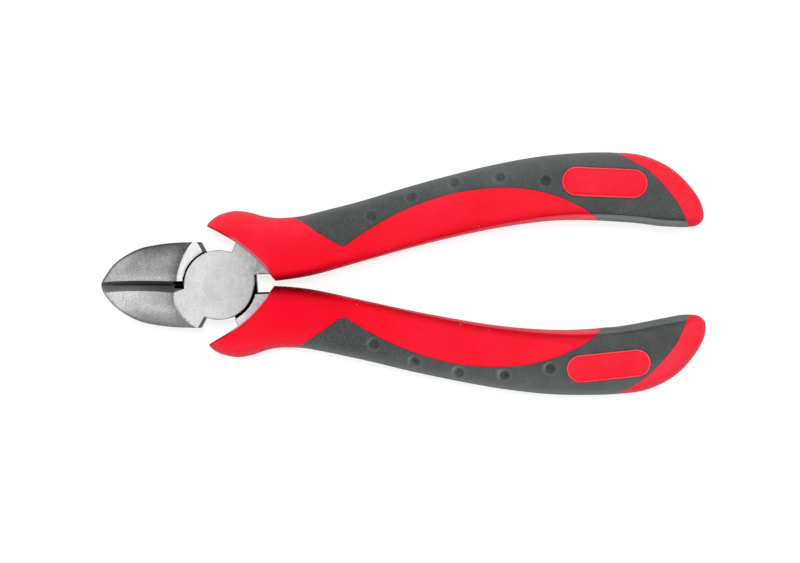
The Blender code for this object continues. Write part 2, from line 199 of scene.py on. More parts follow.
class Body:
    """Collects faces as corner positions in mm and welds them into one closed mesh."""

    def __init__(self):
        self.index, self.verts, self.faces, self.slots = {}, [], [], []

    def at(self, p):
        key = (round(float(p[0]), 3), round(float(p[1]), 3), round(float(p[2]), 4) + 0.0)
        if key not in self.index:
            self.index[key] = len(self.verts)
            self.verts.append(key)
        return self.index[key]

    def face(self, corners, slot=0):
        ids = []
        for p in corners:
            i = self.at(p)
            if not ids or ids[-1] != i:
                ids.append(i)
        if len(ids) > 1 and ids[0] == ids[-1]:
            ids.pop()
        if len(set(ids)) == len(ids) and len(ids) >= 3:
            self.faces.append(ids)
            self.slots.append(slot)

    def skin(self, p, t, z, up=True, slots=None):
        for k, (a, b, c) in enumerate(t):
            tri = [(*p[a], z[a]), (*p[b], z[b]), (*p[c], z[c])]
            self.face(tri if up else tri[::-1], 0 if slots is None else int(slots[k]))

    def wall(self, line, high, low, slot=0, flip=False):
        """Faces along a line between two heights, facing to its right."""
        for i in range(len(line) - 1):
            quad = [(*line[i], high[i]), (*line[i], low[i]), (*line[i + 1], low[i + 1]), (*line[i + 1], high[i + 1])]
            self.face(quad[::-1] if flip else quad, slot)

    def build(self, name, materials, place, sharp=38, marks=None):
        mesh = bpy.data.meshes.new(name)
        local = np.array(self.verts, float)
        mesh.from_pydata([tuple(c) for c in place(local) * MM], [], self.faces)
        for m in materials:
            mesh.materials.append(m)
        mesh.polygons.foreach_set("material_index", self.slots)
        for key, mark in (marks or {}).items():
            mesh.attributes.new(key, "FLOAT", "POINT").data.foreach_set("value", mark(local).astype(np.float32))
        bm = bmesh.new()
        bm.from_mesh(mesh)
        bmesh.ops.recalc_face_normals(bm, faces=bm.faces)
        bm.to_mesh(mesh)
        bm.free()
        mesh.shade_smooth()
        mesh.set_sharp_from_angle(angle=math.radians(sharp))
        obj = bpy.data.objects.new(name, mesh)
        bpy.context.scene.collection.objects.link(obj)
        return obj


def place_handle(flip):
    """Puts a handle in its place. The two mouldings differ by a few tenths of a millimetre along their edges."""
    move = np.array([*SHIFT["lower" if flip else "upper"], 0])

    def place(v):
        v = v.copy()
        near_in, near_out = 1 - smooth(distance(v[:, :2], EDGE_IN), 0, 8), 1 - smooth(distance(v[:, :2], EDGE_OUT), 0, 6)
        x = v[:, 0].copy()
        for start, full, fade, gone, rise, near in (
            ((-3, 1, 14, 19, -0.24, near_out), (101, 106, 117, 123, 0.22, near_in))
            if flip
            else ((58, 76, 116, 122, -0.18, near_in), (84, 101, 103, 114, -0.24, near_in), (14, 20, 26, 40, 0.2, near_out), (96, 108, 140, 150, -0.15, near_out))
        ):
            v[:, 1] += rise * smooth(x, start, full) * (1 - smooth(x, fade, gone)) * near
        v = v * np.array([1, -1, -1]) if flip else v
        return np.c_[rotate(v[:, :2], TILT), v[:, 2]] + move + PIVOT

    return place


def place_lever(flip):
    def place(v):
        return (v * np.array([1, -1, -1]) if flip else v) + PIVOT

    return place


# ------------------------------------------------------------------ materials
def material(name, base, metallic, roughness, specular=0.5):
    made = bpy.data.materials.new(name)
    made.use_nodes = True
    tree = made.node_tree
    shader = tree.nodes["Principled BSDF"]
    shader.inputs["Base Color"].default_value = (*base, 1)
    shader.inputs["Metallic"].default_value = metallic
    shader.inputs["Roughness"].default_value = roughness
    shader.inputs["Specular IOR Level"].default_value = specular
    coords = tree.nodes.new("ShaderNodeTexCoord")
    return made, tree, shader, coords


def scaled(tree, coords, scale, turn=(0, 0, 0)):
    m = tree.nodes.new("ShaderNodeMapping")
    m.inputs["Scale"].default_value = scale
    m.inputs["Rotation"].default_value = turn
    tree.links.new(coords.outputs["Object"], m.inputs["Vector"])
    return m.outputs["Vector"]


def noise(tree, vector, scale, detail=4.0, rough=0.55):
    n = tree.nodes.new("ShaderNodeTexNoise")
    n.inputs["Scale"].default_value = scale
    n.inputs["Detail"].default_value = detail
    n.inputs["Roughness"].default_value = rough
    tree.links.new(vector, n.inputs["Vector"])
    return n.outputs["Fac"]


def ramp(tree, fac, stops):
    r = tree.nodes.new("ShaderNodeValToRGB")
    el = r.color_ramp.elements
    while len(el) < len(stops):
        el.new(0.5)
    for e, (pos, col) in zip(el, stops):
        e.position = pos
        e.color = (*col, 1) if len(col) == 3 else col
    tree.links.new(fac, r.inputs["Fac"])
    return r.outputs["Color"]


def remap(tree, fac, a, b, c, d):
    m = tree.nodes.new("ShaderNodeMapRange")
    for k, v in zip(("From Min", "From Max", "To Min", "To Max"), (a, b, c, d)):
        m.inputs[k].default_value = v
    tree.links.new(fac, m.inputs["Value"])
    return m.outputs["Result"]


def mix(tree, fac, a, b, kind="MIX"):
    m = tree.nodes.new("ShaderNodeMix")
    m.data_type = "RGBA"
    m.blend_type = kind
    for key, value in ((0, fac), (6, a), (7, b)):
        if isinstance(value, (int, float)):
            m.inputs[key].default_value = value
        elif isinstance(value, tuple):
            m.inputs[key].default_value = (*value, 1)
        else:
            tree.links.new(value, m.inputs[key])
    return m.outputs[2]


def bump(tree, shader, height, strength, distance, under=None):
    b = tree.nodes.new("ShaderNodeBump")
    b.inputs["Strength"].default_value = strength
    b.inputs["Distance"].default_value = distance
    tree.links.new(height, b.inputs["Height"])
    if under is not None:
        tree.links.new(under, b.inputs["Normal"])
    tree.links.new(b.outputs["Normal"], shader.inputs["Normal"])
    return b.outputs["Normal"]


def attribute(tree, name):
    a = tree.nodes.new("ShaderNodeAttribute")
    a.attribute_name = name
    return a.outputs["Fac"]


def ground_steel(name, low, high, rough):
    """Flat ground joint face: fine mottling with faint straight grinding marks, darkened where shade is painted in
    through a point attribute.
    """
    made, tree, shader, coords = material(name, high, 1.0, rough)
    plain = scaled(tree, coords, (1, 1, 1))
    cloud = noise(tree, plain, 240, 3)
    grain = noise(tree, scaled(tree, coords, (2400, 360, 360)), 1.0, 3, 0.6)
    fine = noise(tree, plain, 2300, 3, 0.65)
    tone = mix(tree, 0.72, ramp(tree, cloud, [(0.36, low), (0.62, high)]), ramp(tree, fine, [(0.38, low), (0.60, high)]))
    tone = mix(tree, 0.2, tone, ramp(tree, grain, [(0.38, low), (0.60, high)]))
    streak = ramp(tree, grain, [(0.34, (0.35, 0.35, 0.35)), (0.62, (1.0, 1.0, 1.0))])
    blot = ramp(tree, noise(tree, plain, 900, 4, 0.7), [(0.36, (0.4, 0.4, 0.4)), (0.62, (1.0, 1.0, 1.0))])
    # painted shade: the point attribute mixes the face towards dark steel, broken up by streaks and blots
    painted_dark = mix(tree, 1.0, mix(tree, 0.5, streak, blot), attribute(tree, "grime"), "MULTIPLY")
    tone = mix(tree, painted_dark, tone, tuple(c * 0.4 for c in low))
    tree.links.new(tone, shader.inputs["Base Color"])
    tree.links.new(remap(tree, fine, 0.3, 0.7, rough - 0.03, rough + 0.04), shader.inputs["Roughness"])
    first = bump(tree, shader, grain, 0.05, 0.00003)
    bump(tree, shader, fine, 0.16, 0.00003, first)
    return made


def blasted_steel(name, dark, light, rough, streak=(2600, 240, 400), nicks=0.7, metal=1.0, specular=0.5):
    """Blade face: belt-ground streaks across the jaw over a blasted skin, with a few small bright nicks, darkened where
    shade is painted in through the shade attribute.
    """
    made, tree, shader, coords = material(name, light, metal, rough, specular)
    plain = scaled(tree, coords, (1, 1, 1))
    lines = noise(tree, scaled(tree, coords, streak), 1.0, 4, 0.65)
    skin = noise(tree, plain, 3000, 3, 0.7)
    cloud = noise(tree, plain, 330, 3)
    tone = mix(tree, 0.66, ramp(tree, lines, [(0.26, dark), (0.74, light)]), ramp(tree, skin, [(0.37, dark), (0.63, light)]))
    tone = mix(tree, remap(tree, cloud, 0.35, 0.65, 0.05, 0.25), tone, dark)
    nick = noise(tree, plain, 1500, 1, 0.3)
    tone = mix(tree, remap(tree, nick, 0.76, 0.80, 0.0, nicks), tone, tuple(min(1.0, c * 1.9) for c in light))
    shade = ramp(tree, attribute(tree, "shade"), [(0.0, (1.0, 1.0, 1.0)), (1.0, (0.0, 0.0, 0.0))])
    tone = mix(tree, 1.0, tone, shade, "MULTIPLY")
    tree.links.new(tone, shader.inputs["Base Color"])
    tree.links.new(remap(tree, skin, 0.3, 0.7, rough - 0.08, rough + 0.1), shader.inputs["Roughness"])
    first = bump(tree, shader, lines, 0.14, 0.00006)
    bump(tree, shader, skin, 0.4, 0.00006, first)
    return made


def red_plastic(name, base, pale, rough):
    """Hard moulded plastic: fine eroded texture, cloudy colour, paler outer flanks where sheen is painted on, painted
    shade and painted highlights from point attributes, pale scuffs where it is rubbed.
    """
    made, tree, shader, coords = material(name, base, 0.0, rough, 0.025)
    plain = scaled(tree, coords, (1, 1, 1))
    cloud = noise(tree, plain, 70, 3)
    fine = noise(tree, plain, 2400, 3, 0.6)
    rich, light = (base[0] * 0.97, base[1] * 0.35, base[2] * 0.6), (base[0], base[1] * 1.6, base[2] * 1.4)
    tone = mix(tree, 0.35, ramp(tree, cloud, [(0.34, rich), (0.66, light)]), ramp(tree, fine, [(0.36, rich), (0.62, light)]))
    mottle = ramp(tree, mix(tree, 0.6, cloud, noise(tree, plain, 1000, 3, 0.7)), [(0.38, (0.6, 0.6, 0.6)), (0.60, (1.0, 1.0, 1.0))])
    # painted sheen: the tone attribute mixes towards the pale red
    tone = mix(tree, mix(tree, 1.0, mottle, attribute(tree, "tone"), "MULTIPLY"), tone, pale)
    # painted shade: the deep attribute mixes towards dark red
    tone = mix(tree, attribute(tree, "deep"), tone, (base[0] * 0.22, 0.0, 0.004))
    scuff = mix(tree, 1.0, ramp(tree, noise(tree, plain, 1300, 2, 0.5), [(0.71, (0.0, 0.0, 0.0)), (0.80, (0.5, 0.5, 0.5))]), attribute(tree, "wear"), "MULTIPLY")
    tone = mix(tree, scuff, tone, (0.85, 0.42, 0.42))
    # painted highlight: this attribute mixes towards pale pink
    tone = mix(tree, attribute(tree, "painted_highlight"), tone, (0.88, 0.50, 0.50))
    tree.links.new(tone, shader.inputs["Base Color"])
    tree.links.new(remap(tree, fine, 0.3, 0.7, rough - 0.05, rough + 0.07), shader.inputs["Roughness"])
    bump(tree, shader, fine, 0.14, 0.00004)
    return made


def soft_plastic(name, base, rough):
    """Soft-touch shell: matt, slightly dusty, with a pebbled skin; sheen and shade are painted in through point
    attributes.
    """
    made, tree, shader, coords = material(name, base, 0.0, rough, 0.25)
    plain = scaled(tree, coords, (1, 1, 1))
    cloud = noise(tree, plain, 140, 4, 0.6)
    fine = noise(tree, plain, 2600, 3, 0.7)
    light, deep = tuple(c * 1.55 for c in base), tuple(c * 0.5 for c in base)
    tone = mix(tree, 0.5, ramp(tree, cloud, [(0.34, deep), (0.66, light)]), ramp(tree, fine, [(0.36, deep), (0.64, light)]))
    # painted sheen and highlights: the tone attribute mixes towards a lighter grey
    tone = mix(tree, attribute(tree, "tone"), tone, (base[0] * 2.9, base[1] * 3.1, base[2] * 3.1))
    patchy = ramp(tree, noise(tree, plain, 1700, 2, 0.6), [(0.36, (0.35, 0.35, 0.35)), (0.6, (1.0, 1.0, 1.0))])
    # painted shade: the deep attribute mixes towards dark grey, broken up by patches
    tone = mix(tree, mix(tree, 1.0, patchy, attribute(tree, "deep"), "MULTIPLY"), tone, tuple(c * 0.3 for c in base))
    dust = noise(tree, plain, 2300, 1, 0.2)
    tone = mix(tree, remap(tree, dust, 0.75, 0.80, 0.0, 0.3), tone, (0.3, 0.31, 0.31))
    tree.links.new(tone, shader.inputs["Base Color"])
    tree.links.new(remap(tree, cloud, 0.3, 0.7, rough - 0.06, rough + 0.08), shader.inputs["Roughness"])
    bump(tree, shader, fine, 0.25, 0.00008)
    return made


def gray(v):
    return (v, v, v)


GROUND = ground_steel("ground_steel", gray(0.29), gray(0.46), 0.54)
# both levers are one steel: the upper lever's band is a painted lit copy of the ground steel, the lower jaw's blade and
# bevel are painted lit copies, and the upper jaw's are painted shaded copies
BAND_LIT = ground_steel("ground_band_steel_lit", gray(0.36), gray(0.52), 0.54)
BLADE_LOW_LIT = blasted_steel("blade_steel_lower_lit", gray(0.30), gray(0.78), 0.58, nicks=0.3)
BLADE_UP_SHADED = blasted_steel("blade_steel_upper_shaded", gray(0.155), gray(0.43), 0.42)
BEVEL_LOW_LIT = blasted_steel("bevel_steel_lower_lit", gray(0.29), gray(0.55), 0.5, (300, 3000, 3000), 0.2, 0.65)
BEVEL_UP_SHADED = blasted_steel("bevel_steel_upper_shaded", gray(0.12), gray(0.26), 0.5, (300, 3000, 3000), 0.2)
SIDE = blasted_steel("forged_side_steel", gray(0.20), gray(0.36), 0.5, (2000, 2000, 600), 0.2)
# the shoulder facet's steel is painted dark as the shade on its steep face
FACET = blasted_steel("facet_steel_shaded", (0.11, 0.13, 0.13), (0.19, 0.22, 0.22), 0.6, (2000, 2000, 600), 0.3, 0.35)
# near-black steel put as painted shadow in the slot, along the upper lever's neck edge and on the hidden lap faces
SHADOW_BLACK = blasted_steel("shadow_black_steel", gray(0.002), gray(0.005), 0.85, (2000, 2000, 600), 0.0, 0.0, 0.02)
RIVET = ground_steel("rivet_steel", gray(0.27), gray(0.42), 0.54)
RED = red_plastic("red_core_plastic", (0.835, 0.0016, 0.0160), (0.84, 0.078, 0.112), 0.5)
RED_PAD = red_plastic("red_inlay_plastic", (0.825, 0.016, 0.033), (0.83, 0.05, 0.06), 0.45)
# the pad's rim bead, painted paler as a highlight
RED_RIM_HIGHLIGHT = red_plastic("red_inlay_rim_highlight", (0.82, 0.075, 0.092), (0.83, 0.05, 0.06), 0.42)
SOFT = soft_plastic("soft_grip_plastic", (0.061, 0.064, 0.064), 0.66)


# ------------------------------------------------------------------ levers
def jaw_edge(flip):
    """Outer edge of the jaw, from its tip back to its rear corner. The upper jaw is ground to a sharper tip."""
    t = np.sin(np.linspace(math.pi / 2, 0, 400))
    x = JAW_REAR_X + (TIP_X - JAW_REAR_X) * t
    y = JAW_HALF_WIDTH * np.maximum(0, 1 - t**JAW_RISE) ** (1 / JAW_FLARE) + 0.18 * np.exp(-(((x + 21) / 3.2) ** 2))
    if flip:
        y = y - 0.48 * np.exp(-(((x + 30.5) / 1.7) ** 2))
    return evenly(np.c_[x, -np.maximum(y, EDGE_Y)], 0.25)


def cross(line, radius):
    """The line with a point put in where it crosses a circle about the pivot."""
    out = [line[0]]
    for a, b in zip(line[:-1], line[1:]):
        ra, rb = np.hypot(*a), np.hypot(*b)
        if (ra - radius) * (rb - radius) < 0:
            lo, hi = 0.0, 1.0
            for _ in range(50):
                m = (lo + hi) / 2
                r = np.hypot(*(a + (b - a) * m))
                lo, hi = (m, hi) if (r - radius) * (ra - radius) > 0 else (lo, m)
            out.append(a + (b - a) * lo)
        out.append(b)
    return np.array(out)


def on_circle(radius, y):
    return np.array([-math.sqrt(radius**2 - y**2), y])


def nearest(loop, point):
    return loop[np.argmin(np.hypot(*(loop - point).T))]


def make_lever(flip):
    """One lever with its jaw below the cutting line and its disc above the lap. The other one is turned over."""
    tilt = -TILT if flip else TILT
    lean = math.degrees(tilt)
    bevel_mid, bevel_bow, bevel_x, bevel_tip = (1.13, -0.13, -20.2, 0.5) if flip else (1.62, 0.26, -21.9, 2.35)
    facet = 0.78 if flip else 0.6
    rear_r = NECK_CUTOUT_R if flip else HEEL_CUTOUT_R

    # outline, anticlockwise from the tip
    edge = jaw_edge(flip)
    corner = edge[-1]
    shoulder = DISC_R * np.array([math.cos(math.radians(SHOULDER)), math.sin(math.radians(SHOULDER))])
    back = cross(evenly(np.array([corner, shoulder]), 0.3), CUTOUT_R)
    neck_in, neck_out = rotate(np.array(NECK_INNER) - (0, 0.25 if flip else 0.0), tilt), rotate(NECK_OUTER, tilt)

    def neck_y(x):
        return neck_in[0, 1] + (x - neck_in[0, 0]) * (neck_in[1, 1] - neck_in[0, 1]) / (neck_in[1, 0] - neck_in[0, 0])

    heel_top = np.array([HEEL_X + 0.15, neck_y(HEEL_X + 0.15)])
    if flip:
        disc = np.vstack([arc(DISC_R, SHOULDER, 360 - 17.3, 0.25), evenly(np.array([(HEEL_X - 0.25, -2.75), heel_top]), 0.4)])
    else:
        disc = np.vstack([arc(DISC_R, SHOULDER, 351, 0.25), evenly(np.vstack([arc(DISC_R, 351, 352, 1.0)[-1:], [(9.4, 0.3)], neck_in[:1]]), 0.3)])
    inner = np.vstack([disc, evenly(np.vstack([disc[-1:], neck_in[1:2]]), 0.3)[1:], evenly(neck_in[1:], 0.6)[1:]])
    if not flip:
        inner = cross(inner, rear_r)
    line = spline(TANG_LINE, 2.0)
    half = np.linspace(*TANG_WIDTH, len(line))[:, None]
    side = normals(line)
    ahead = rotate(side[-1], -math.pi / 2)[0]
    tang = np.vstack([line - side * half, [line[-1] + ahead * 1.2 - side[-1] * 1.9], [line[-1] + ahead * 1.2 + side[-1] * 1.9], (line + side * half)[::-1]])
    tang = rotate(tang, tilt)
    outer = cross(evenly(neck_out, 0.5), rear_r)
    start = on_circle(DISC_R, -EDGE_Y)
    over = np.vstack([arc(DISC_R, 66.6 + lean, 179.2, 0.25), on_circle(DISC_R, 0.04)])
    lap_end = on_circle(CUTOUT_R, -EDGE_Y)
    cut = np.vstack([[start], evenly(np.array([lap_end, (SLOT_FRONT, -EDGE_Y)]), 0.25), evenly(np.array([(SLOT_FRONT - 0.06, -EDGE_Y), (TIP_X, -EDGE_Y)]), 0.3)])
    loop = np.round(np.vstack([edge[:-1], back[:-1], inner, tang, outer[:-1], over, cut[:-1]]), 3)
    loop = loop[np.r_[True, np.hypot(*np.diff(loop, axis=0).T) > 5e-3]]
    ring = close(loop)

    # features of the faces
    def boss_r(phi):
        return 11.25 + 2.0 * np.clip((phi - 186) / 52, 0, 1.2) ** 1.9 if flip else 12.78 - 0.72 * (1 - smooth(phi, 187, 204))

    def bevel_y(x):
        w = bevel_mid + bevel_bow * ((x - bevel_x) / 7.2) ** 2
        return w + (bevel_tip - w) * np.exp(-np.maximum(0, x - TIP_X) / 1.3)

    def heel_y(x):
        return SLOT_DEPTH + 0.1 + (-9.15 - x) / 2.95 * (bevel_y(-12.1) - SLOT_DEPTH - 0.1)

    bx = np.linspace(TIP_X + 0.2, -12.1, 70)
    hx = np.linspace(-12.1, -9.15, 12)
    bevel_line = np.r_[np.c_[bx, -bevel_y(bx)], np.c_[hx, -heel_y(hx)][1:]]
    phi = np.linspace(184.5, SHOULDER - 0.5, 100)
    boss = boss_r(phi)[:, None] * np.c_[np.cos(np.radians(phi)), np.sin(np.radians(phi))]
    boss = boss[-boss[:, 1] > np.where(boss[:, 0] < -12.1, bevel_y(boss[:, 0]), heel_y(boss[:, 0])) + 0.06]
    bend = arc(0.55, 250, 180, 0.12, (SLOT_FRONT + 0.55, -0.38))
    wide = arc(0.61, 250, 180, 0.12, (SLOT_FRONT + 0.55, -0.38))
    slot_in = np.vstack([[start], [on_circle(DISC_R, -SLOT_DEPTH + 0.05)], [on_circle(CUTOUT_R, -SLOT_DEPTH + 0.05)], [(SLOT_FRONT + 0.8, -SLOT_DEPTH + 0.05)], bend, [(SLOT_FRONT, -EDGE_Y)]])
    slot_out = np.vstack([[over[-1]], [on_circle(DISC_R - 0.06, -0.1)], [on_circle(DISC_R - 0.06, -SLOT_DEPTH)], [on_circle(CUTOUT_R, -SLOT_DEPTH)], [(SLOT_FRONT + 0.8, -SLOT_DEPTH)], wide, [(SLOT_FRONT - 0.06, -EDGE_Y)]])
    slot_in, slot_out = np.round(slot_in, 3), np.round(slot_out, 3)
    slot_loop = np.vstack([slot_in, [(SLOT_FRONT, 1.0), (-DISC_R, 1.0)]])
    along = normals(np.array([corner, shoulder]))[0]
    facet_line = evenly(np.array([corner, shoulder]) + along * facet, 0.3)
    rim = np.vstack([inner, tang, outer, over])
    neck_edge = evenly(np.vstack([disc[-1:], neck_in[1:]]), 0.5)

    def zones(p):
        rho = np.hypot(p[:, 0], p[:, 1])
        ang = np.degrees(np.arctan2(p[:, 1], p[:, 0])) % 360
        jaw = (p[:, 0] < -4.0) & (p[:, 1] < 0.2) & (ang > 170) & (ang < 264)
        above = np.where(p[:, 0] < -12.1, bevel_y(p[:, 0]), heel_y(p[:, 0]))
        flank = jaw & (p[:, 0] < -9.25) & (-p[:, 1] < above - 1e-3)
        s = rho - boss_r(np.clip(ang, 180, 252))
        off = ((p - corner) * along).sum(1)
        strip = (off < facet + 1e-6) & (p[:, 0] < -3.0) & (p[:, 1] < -8.3) & (rho > DISC_R - 0.02)
        return rho, jaw, flank, s, off, strip

    def blade(s, d):
        fall = 0.55 * (1 - np.exp(-np.maximum(s, 0) / 1.2)) + 0.118 * np.maximum(s, 0)
        crown = 0.95 * (1 - 0.9 * smooth(s, 8, 16)) * np.clip(1 - d / 4.6, 0, 1) ** 2 + 0.28 * np.clip(1 - d / 0.55, 0, 1) ** 2
        return HEAD_HALF - fall - crown * smooth(s, 0, 1.6)

    def height(p):
        """Half height of the full-thickness faces."""
        rho, jaw, flank, s, off, strip = zones(p)
        d = distance(p, edge)
        z = np.full(len(p), HEAD_HALF)
        z = np.where(jaw & (s > 0), blade(s, d), z)
        w = np.where(p[:, 0] < -12.1, bevel_y(p[:, 0]), heel_y(p[:, 0]))
        top = np.c_[p[:, 0], -w]
        rise = blade(np.hypot(*top.T) - boss_r(np.full(len(p), 187.0)), distance(top, edge))
        foot = np.where(p[:, 0] < SLOT_FRONT, EDGE_Z, 2.5)
        slope = foot + (rise - foot) * np.clip((-p[:, 1] - EDGE_Y) / (w - EDGE_Y), 0, 1)
        z = np.where(flank, np.minimum(z, slope), z)
        z = np.where(inside(p, slot_loop) | ((distance(p, slot_in) < 0.012) & (p[:, 1] < 0)), SLOT_WEB, z)
        steep = 4.3 * np.clip(1 - np.maximum(off, 0) / facet, 0, 1) * smooth(rho, DISC_R, DISC_R + 0.4)
        z = np.where(strip, np.minimum(z, HEAD_HALF - steep), z)
        z = z - np.where(z > 4.9, 0.10 * np.clip(1 - distance(p, rim) / 0.18, 0, 1) ** 2, 0)
        h = rotate(p, -tilt)
        if flip:
            z = np.minimum(z, HEAD_HALF - 3.6 * np.clip(1 - distance(p, neck_edge) / 0.5, 0, 1) * (rho > rear_r))
        return np.where((h[:, 0] > 14) & (h[:, 1] > 0), np.minimum(z, HEAD_HALF - (HEAD_HALF - TANG_HALF) * smooth(h[:, 0], 20.5, 22.5)), z)

    def slots_of(p, t):
        mid = p[t].mean(1)
        rho, jaw, flank, s, off, strip = zones(mid)
        out = np.zeros(len(t), int)
        out[jaw & (s > 0)] = 1
        out[flank] = 2
        # slot 4 is the black painted shadow, slot 5 the facet's painted shade
        out[inside(mid, slot_loop) | (flank & (mid[:, 0] > SLOT_FRONT) & (flip | (distance(mid, slot_in) < 0.09)))] = 4
        out[strip & (rho > DISC_R + 0.2)] = 5
        if flip:
            out[(distance(mid, neck_edge) < 0.5) & (rho > rear_r - 0.3)] = 4
        return out

    # points over the plan
    pts = []
    n = normals(loop, True)
    for d in (0.06, 0.18, 0.3, 0.5, 0.8):
        q = loop + n * d
        pts.append(q[inside(q, loop) & (distance(q, ring) > 0.93 * d)])
    gx, gy = np.meshgrid(np.arange(-31.5, -4, 0.5), np.arange(-11.5, 0, 0.45))
    gx = gx + 0.25 * (np.arange(gx.shape[0]) % 2)[:, None]
    g = np.c_[gx.ravel(), gy.ravel()]
    ok = inside(g, loop) & (distance(g, ring) > 1.0)
    for l, least in ((boss, 0.3), (bevel_line, 0.25), (slot_out, 0.3), (facet_line, 0.3)):
        ok &= distance(g, l) > least
    pts.append(g[ok & (np.abs(np.hypot(*g.T) - CUTOUT_R) > 0.3)])
    gx, gy = np.meshgrid(np.arange(-9, 104, 1.6), np.arange(-9, 30, 1.6))
    g = np.c_[gx.ravel(), gy.ravel()]
    ok = inside(g, loop) & (distance(g, ring) > 1.2) & (np.hypot(*g.T) > 5.2) & (distance(g, slot_out) > 0.6) & (g[:, 0] > -8.5)
    pts.append(g[ok & (np.abs(np.hypot(*g.T) - rear_r) > 0.5) & (np.abs(np.hypot(*g.T) - CUTOUT_R) > 0.5)])
    for out in (0.12, 0.35, 0.8):
        q = boss * (1 + out / np.hypot(*boss.T))[:, None]
        pts.append(q[inside(q, loop) & (distance(q, ring) > 0.25) & (distance(q, bevel_line) > 0.2)])
    pts = np.round(np.vstack(pts), 3)
    for l in (slot_in, slot_out, bevel_line, facet_line):
        pts = pts[distance(pts, l) > 0.07]

    def clear(line):
        return np.round(line[inside(line, loop) & (distance(line, ring) > 0.05)], 3)

    turn = np.linspace(0, 2 * math.pi, 97)[:-1]
    circle = np.c_[np.cos(turn), np.sin(turn)]
    hole_top, hole_low = np.round(circle * (RIVET_HEAD_R + 0.003), 3), np.round(circle * (RIVET_R + 0.05), 3)
    lines = [clear(boss), clear(bevel_line), clear(facet_line)]

    body = Body()
    p, t = triangulate([loop, hole_top], [*lines, slot_in, slot_out], pts)
    body.skin(p, t, height(p), True, slots_of(p, t))

    # underside: the lap face, and the full-thickness jaw and neck around it
    a_in, a_out = (180 + math.degrees(math.asin((SLOT_DEPTH - k) / CUTOUT_R)) for k in (0.05, 0.0))
    shoulder_end = back[np.argmin(np.abs(np.hypot(*back.T) - CUTOUT_R))]
    a_end = math.degrees(math.atan2(shoulder_end[1], shoulder_end[0])) % 360
    jaw_cut = np.vstack([arc(CUTOUT_R, 180 + math.degrees(math.asin(EDGE_Y / CUTOUT_R)), a_in, 0.2), arc(CUTOUT_R, a_out, a_end, 0.25)])
    tops = [q for q in outer if abs(np.hypot(*q) - rear_r) < 1e-6]
    a1 = math.degrees(math.atan2(tops[0][1], tops[0][0]))
    if flip:
        kx = math.sqrt(rear_r**2 - neck_y(9.75) ** 2)
        a0 = math.degrees(math.atan2(neck_y(kx), kx))
        neck_cut = np.vstack([[heel_top], arc(rear_r, a0, a1, 0.25)])
    else:
        first = [q for q in inner if abs(np.hypot(*q) - rear_r) < 1e-6][0]
        neck_cut = arc(rear_r, math.degrees(math.atan2(first[1], first[0])), a1, 0.25)
    jaw_cut, neck_cut = np.round(jaw_cut, 3), np.round(neck_cut, 3)
    for l in (jaw_cut, neck_cut):
        l[0], l[-1] = nearest(loop, l[0]), nearest(loop, l[-1])
    low_pts = pts[(distance(pts, jaw_cut) > 0.1) & (distance(pts, neck_cut) > 0.1)]
    low_lines = [np.vstack([l[np.hypot(*l.T) > CUTOUT_R - 0.002]]) for l in (slot_in, slot_out)]
    low_pts = low_pts[np.hypot(*low_pts.T) > 3.6]
    q, u = triangulate([loop, hole_low], [*[l[np.hypot(*l.T) > CUTOUT_R + 0.05] for l in lines], *low_lines, jaw_cut, neck_cut], low_pts)

    def lapped(mid):
        rho = np.hypot(*mid.T)
        ang = np.degrees(np.arctan2(mid[:, 1], mid[:, 0])) % 360
        jaw = (ang > 175) & (ang < 262) & (mid[:, 0] < -3)
        rear = rho < rear_r
        if flip:
            rear |= (mid[:, 0] > 9) & (mid[:, 0] < HEEL_X + 0.3) & (mid[:, 1] < neck_y(mid[:, 0]) - 1e-3)
        return np.where(jaw, rho < CUTOUT_R, rear)

    lap = lapped(q[u].mean(1))
    lip = 0.10 * np.clip(1 - np.minimum(distance(q, jaw_cut), distance(q, neck_cut)) / 0.18, 0, 1) ** 2
    full = height(q)
    full = full - np.where(full > 4.85, lip, 0)
    body.skin(q, u[lap], np.full(len(q), LAP), False, np.full(lap.sum(), 4))
    body.skin(q, u[~lap], -full, False, slots_of(q, u[~lap]))

    # walls
    low = {tuple(a): b for a, b in zip(q, full)}
    z = height(ring)
    down = np.array([low[tuple(a)] for a in ring])
    body.wall(ring, z, np.full(len(z), LAP), 3)
    for i in np.flatnonzero(~lapped((ring[:-1] + ring[1:]) / 2)):
        body.wall(ring[i : i + 2], np.full(2, LAP), -down[i : i + 2], 3)
    for l in (jaw_cut, neck_cut):
        body.wall(l, np.full(len(l), LAP), -np.array([low[tuple(a)] for a in l]), 3, flip=True)
    top, bottom = close(hole_top), close(hole_low)
    for i in range(len(turn)):
        a, b, c, d = top[i], top[i + 1], bottom[i + 1], bottom[i]
        body.face([(*a, HEAD_HALF), (*b, HEAD_HALF), (*c, HEAD_HALF - RIVET_CONE), (*d, HEAD_HALF - RIVET_CONE)], 3)
    body.wall(bottom, np.full(len(bottom), HEAD_HALF - RIVET_CONE), np.full(len(bottom), LAP), 3, flip=True)
    return body


def lever_steel_shade(tilt):
    """Painted shade on the ground steel: a painted shadow beside the guard, and painted darkening over the rear of the
    disc and along the neck.
    """

    def mark(v):
        h = rotate(v[:, :2], -tilt)
        d = distance(h, spline(FRONT, 0.5))
        near = (0.34 + 0.2 * smooth(h[:, 0], 7.5, 11) * (tilt > 0)) * np.exp(-((d / 3.0) ** 2)) * (h[:, 1] > 0)
        rear = 0.46 * smooth(v[:, 0], -1.5, 9.5) * (1 - 0.45 * smooth(h[:, 1], 3, 8)) * (tilt > 0)
        neck = 0.12 - 0.09 * np.exp(-(((v[:, 0] + 7) / 2.0) ** 2)) if tilt > 0 else 0.5 * smooth(v[:, 0], 4.5, 9.5)
        return np.clip(near + rear + neck, 0, 1)

    return mark


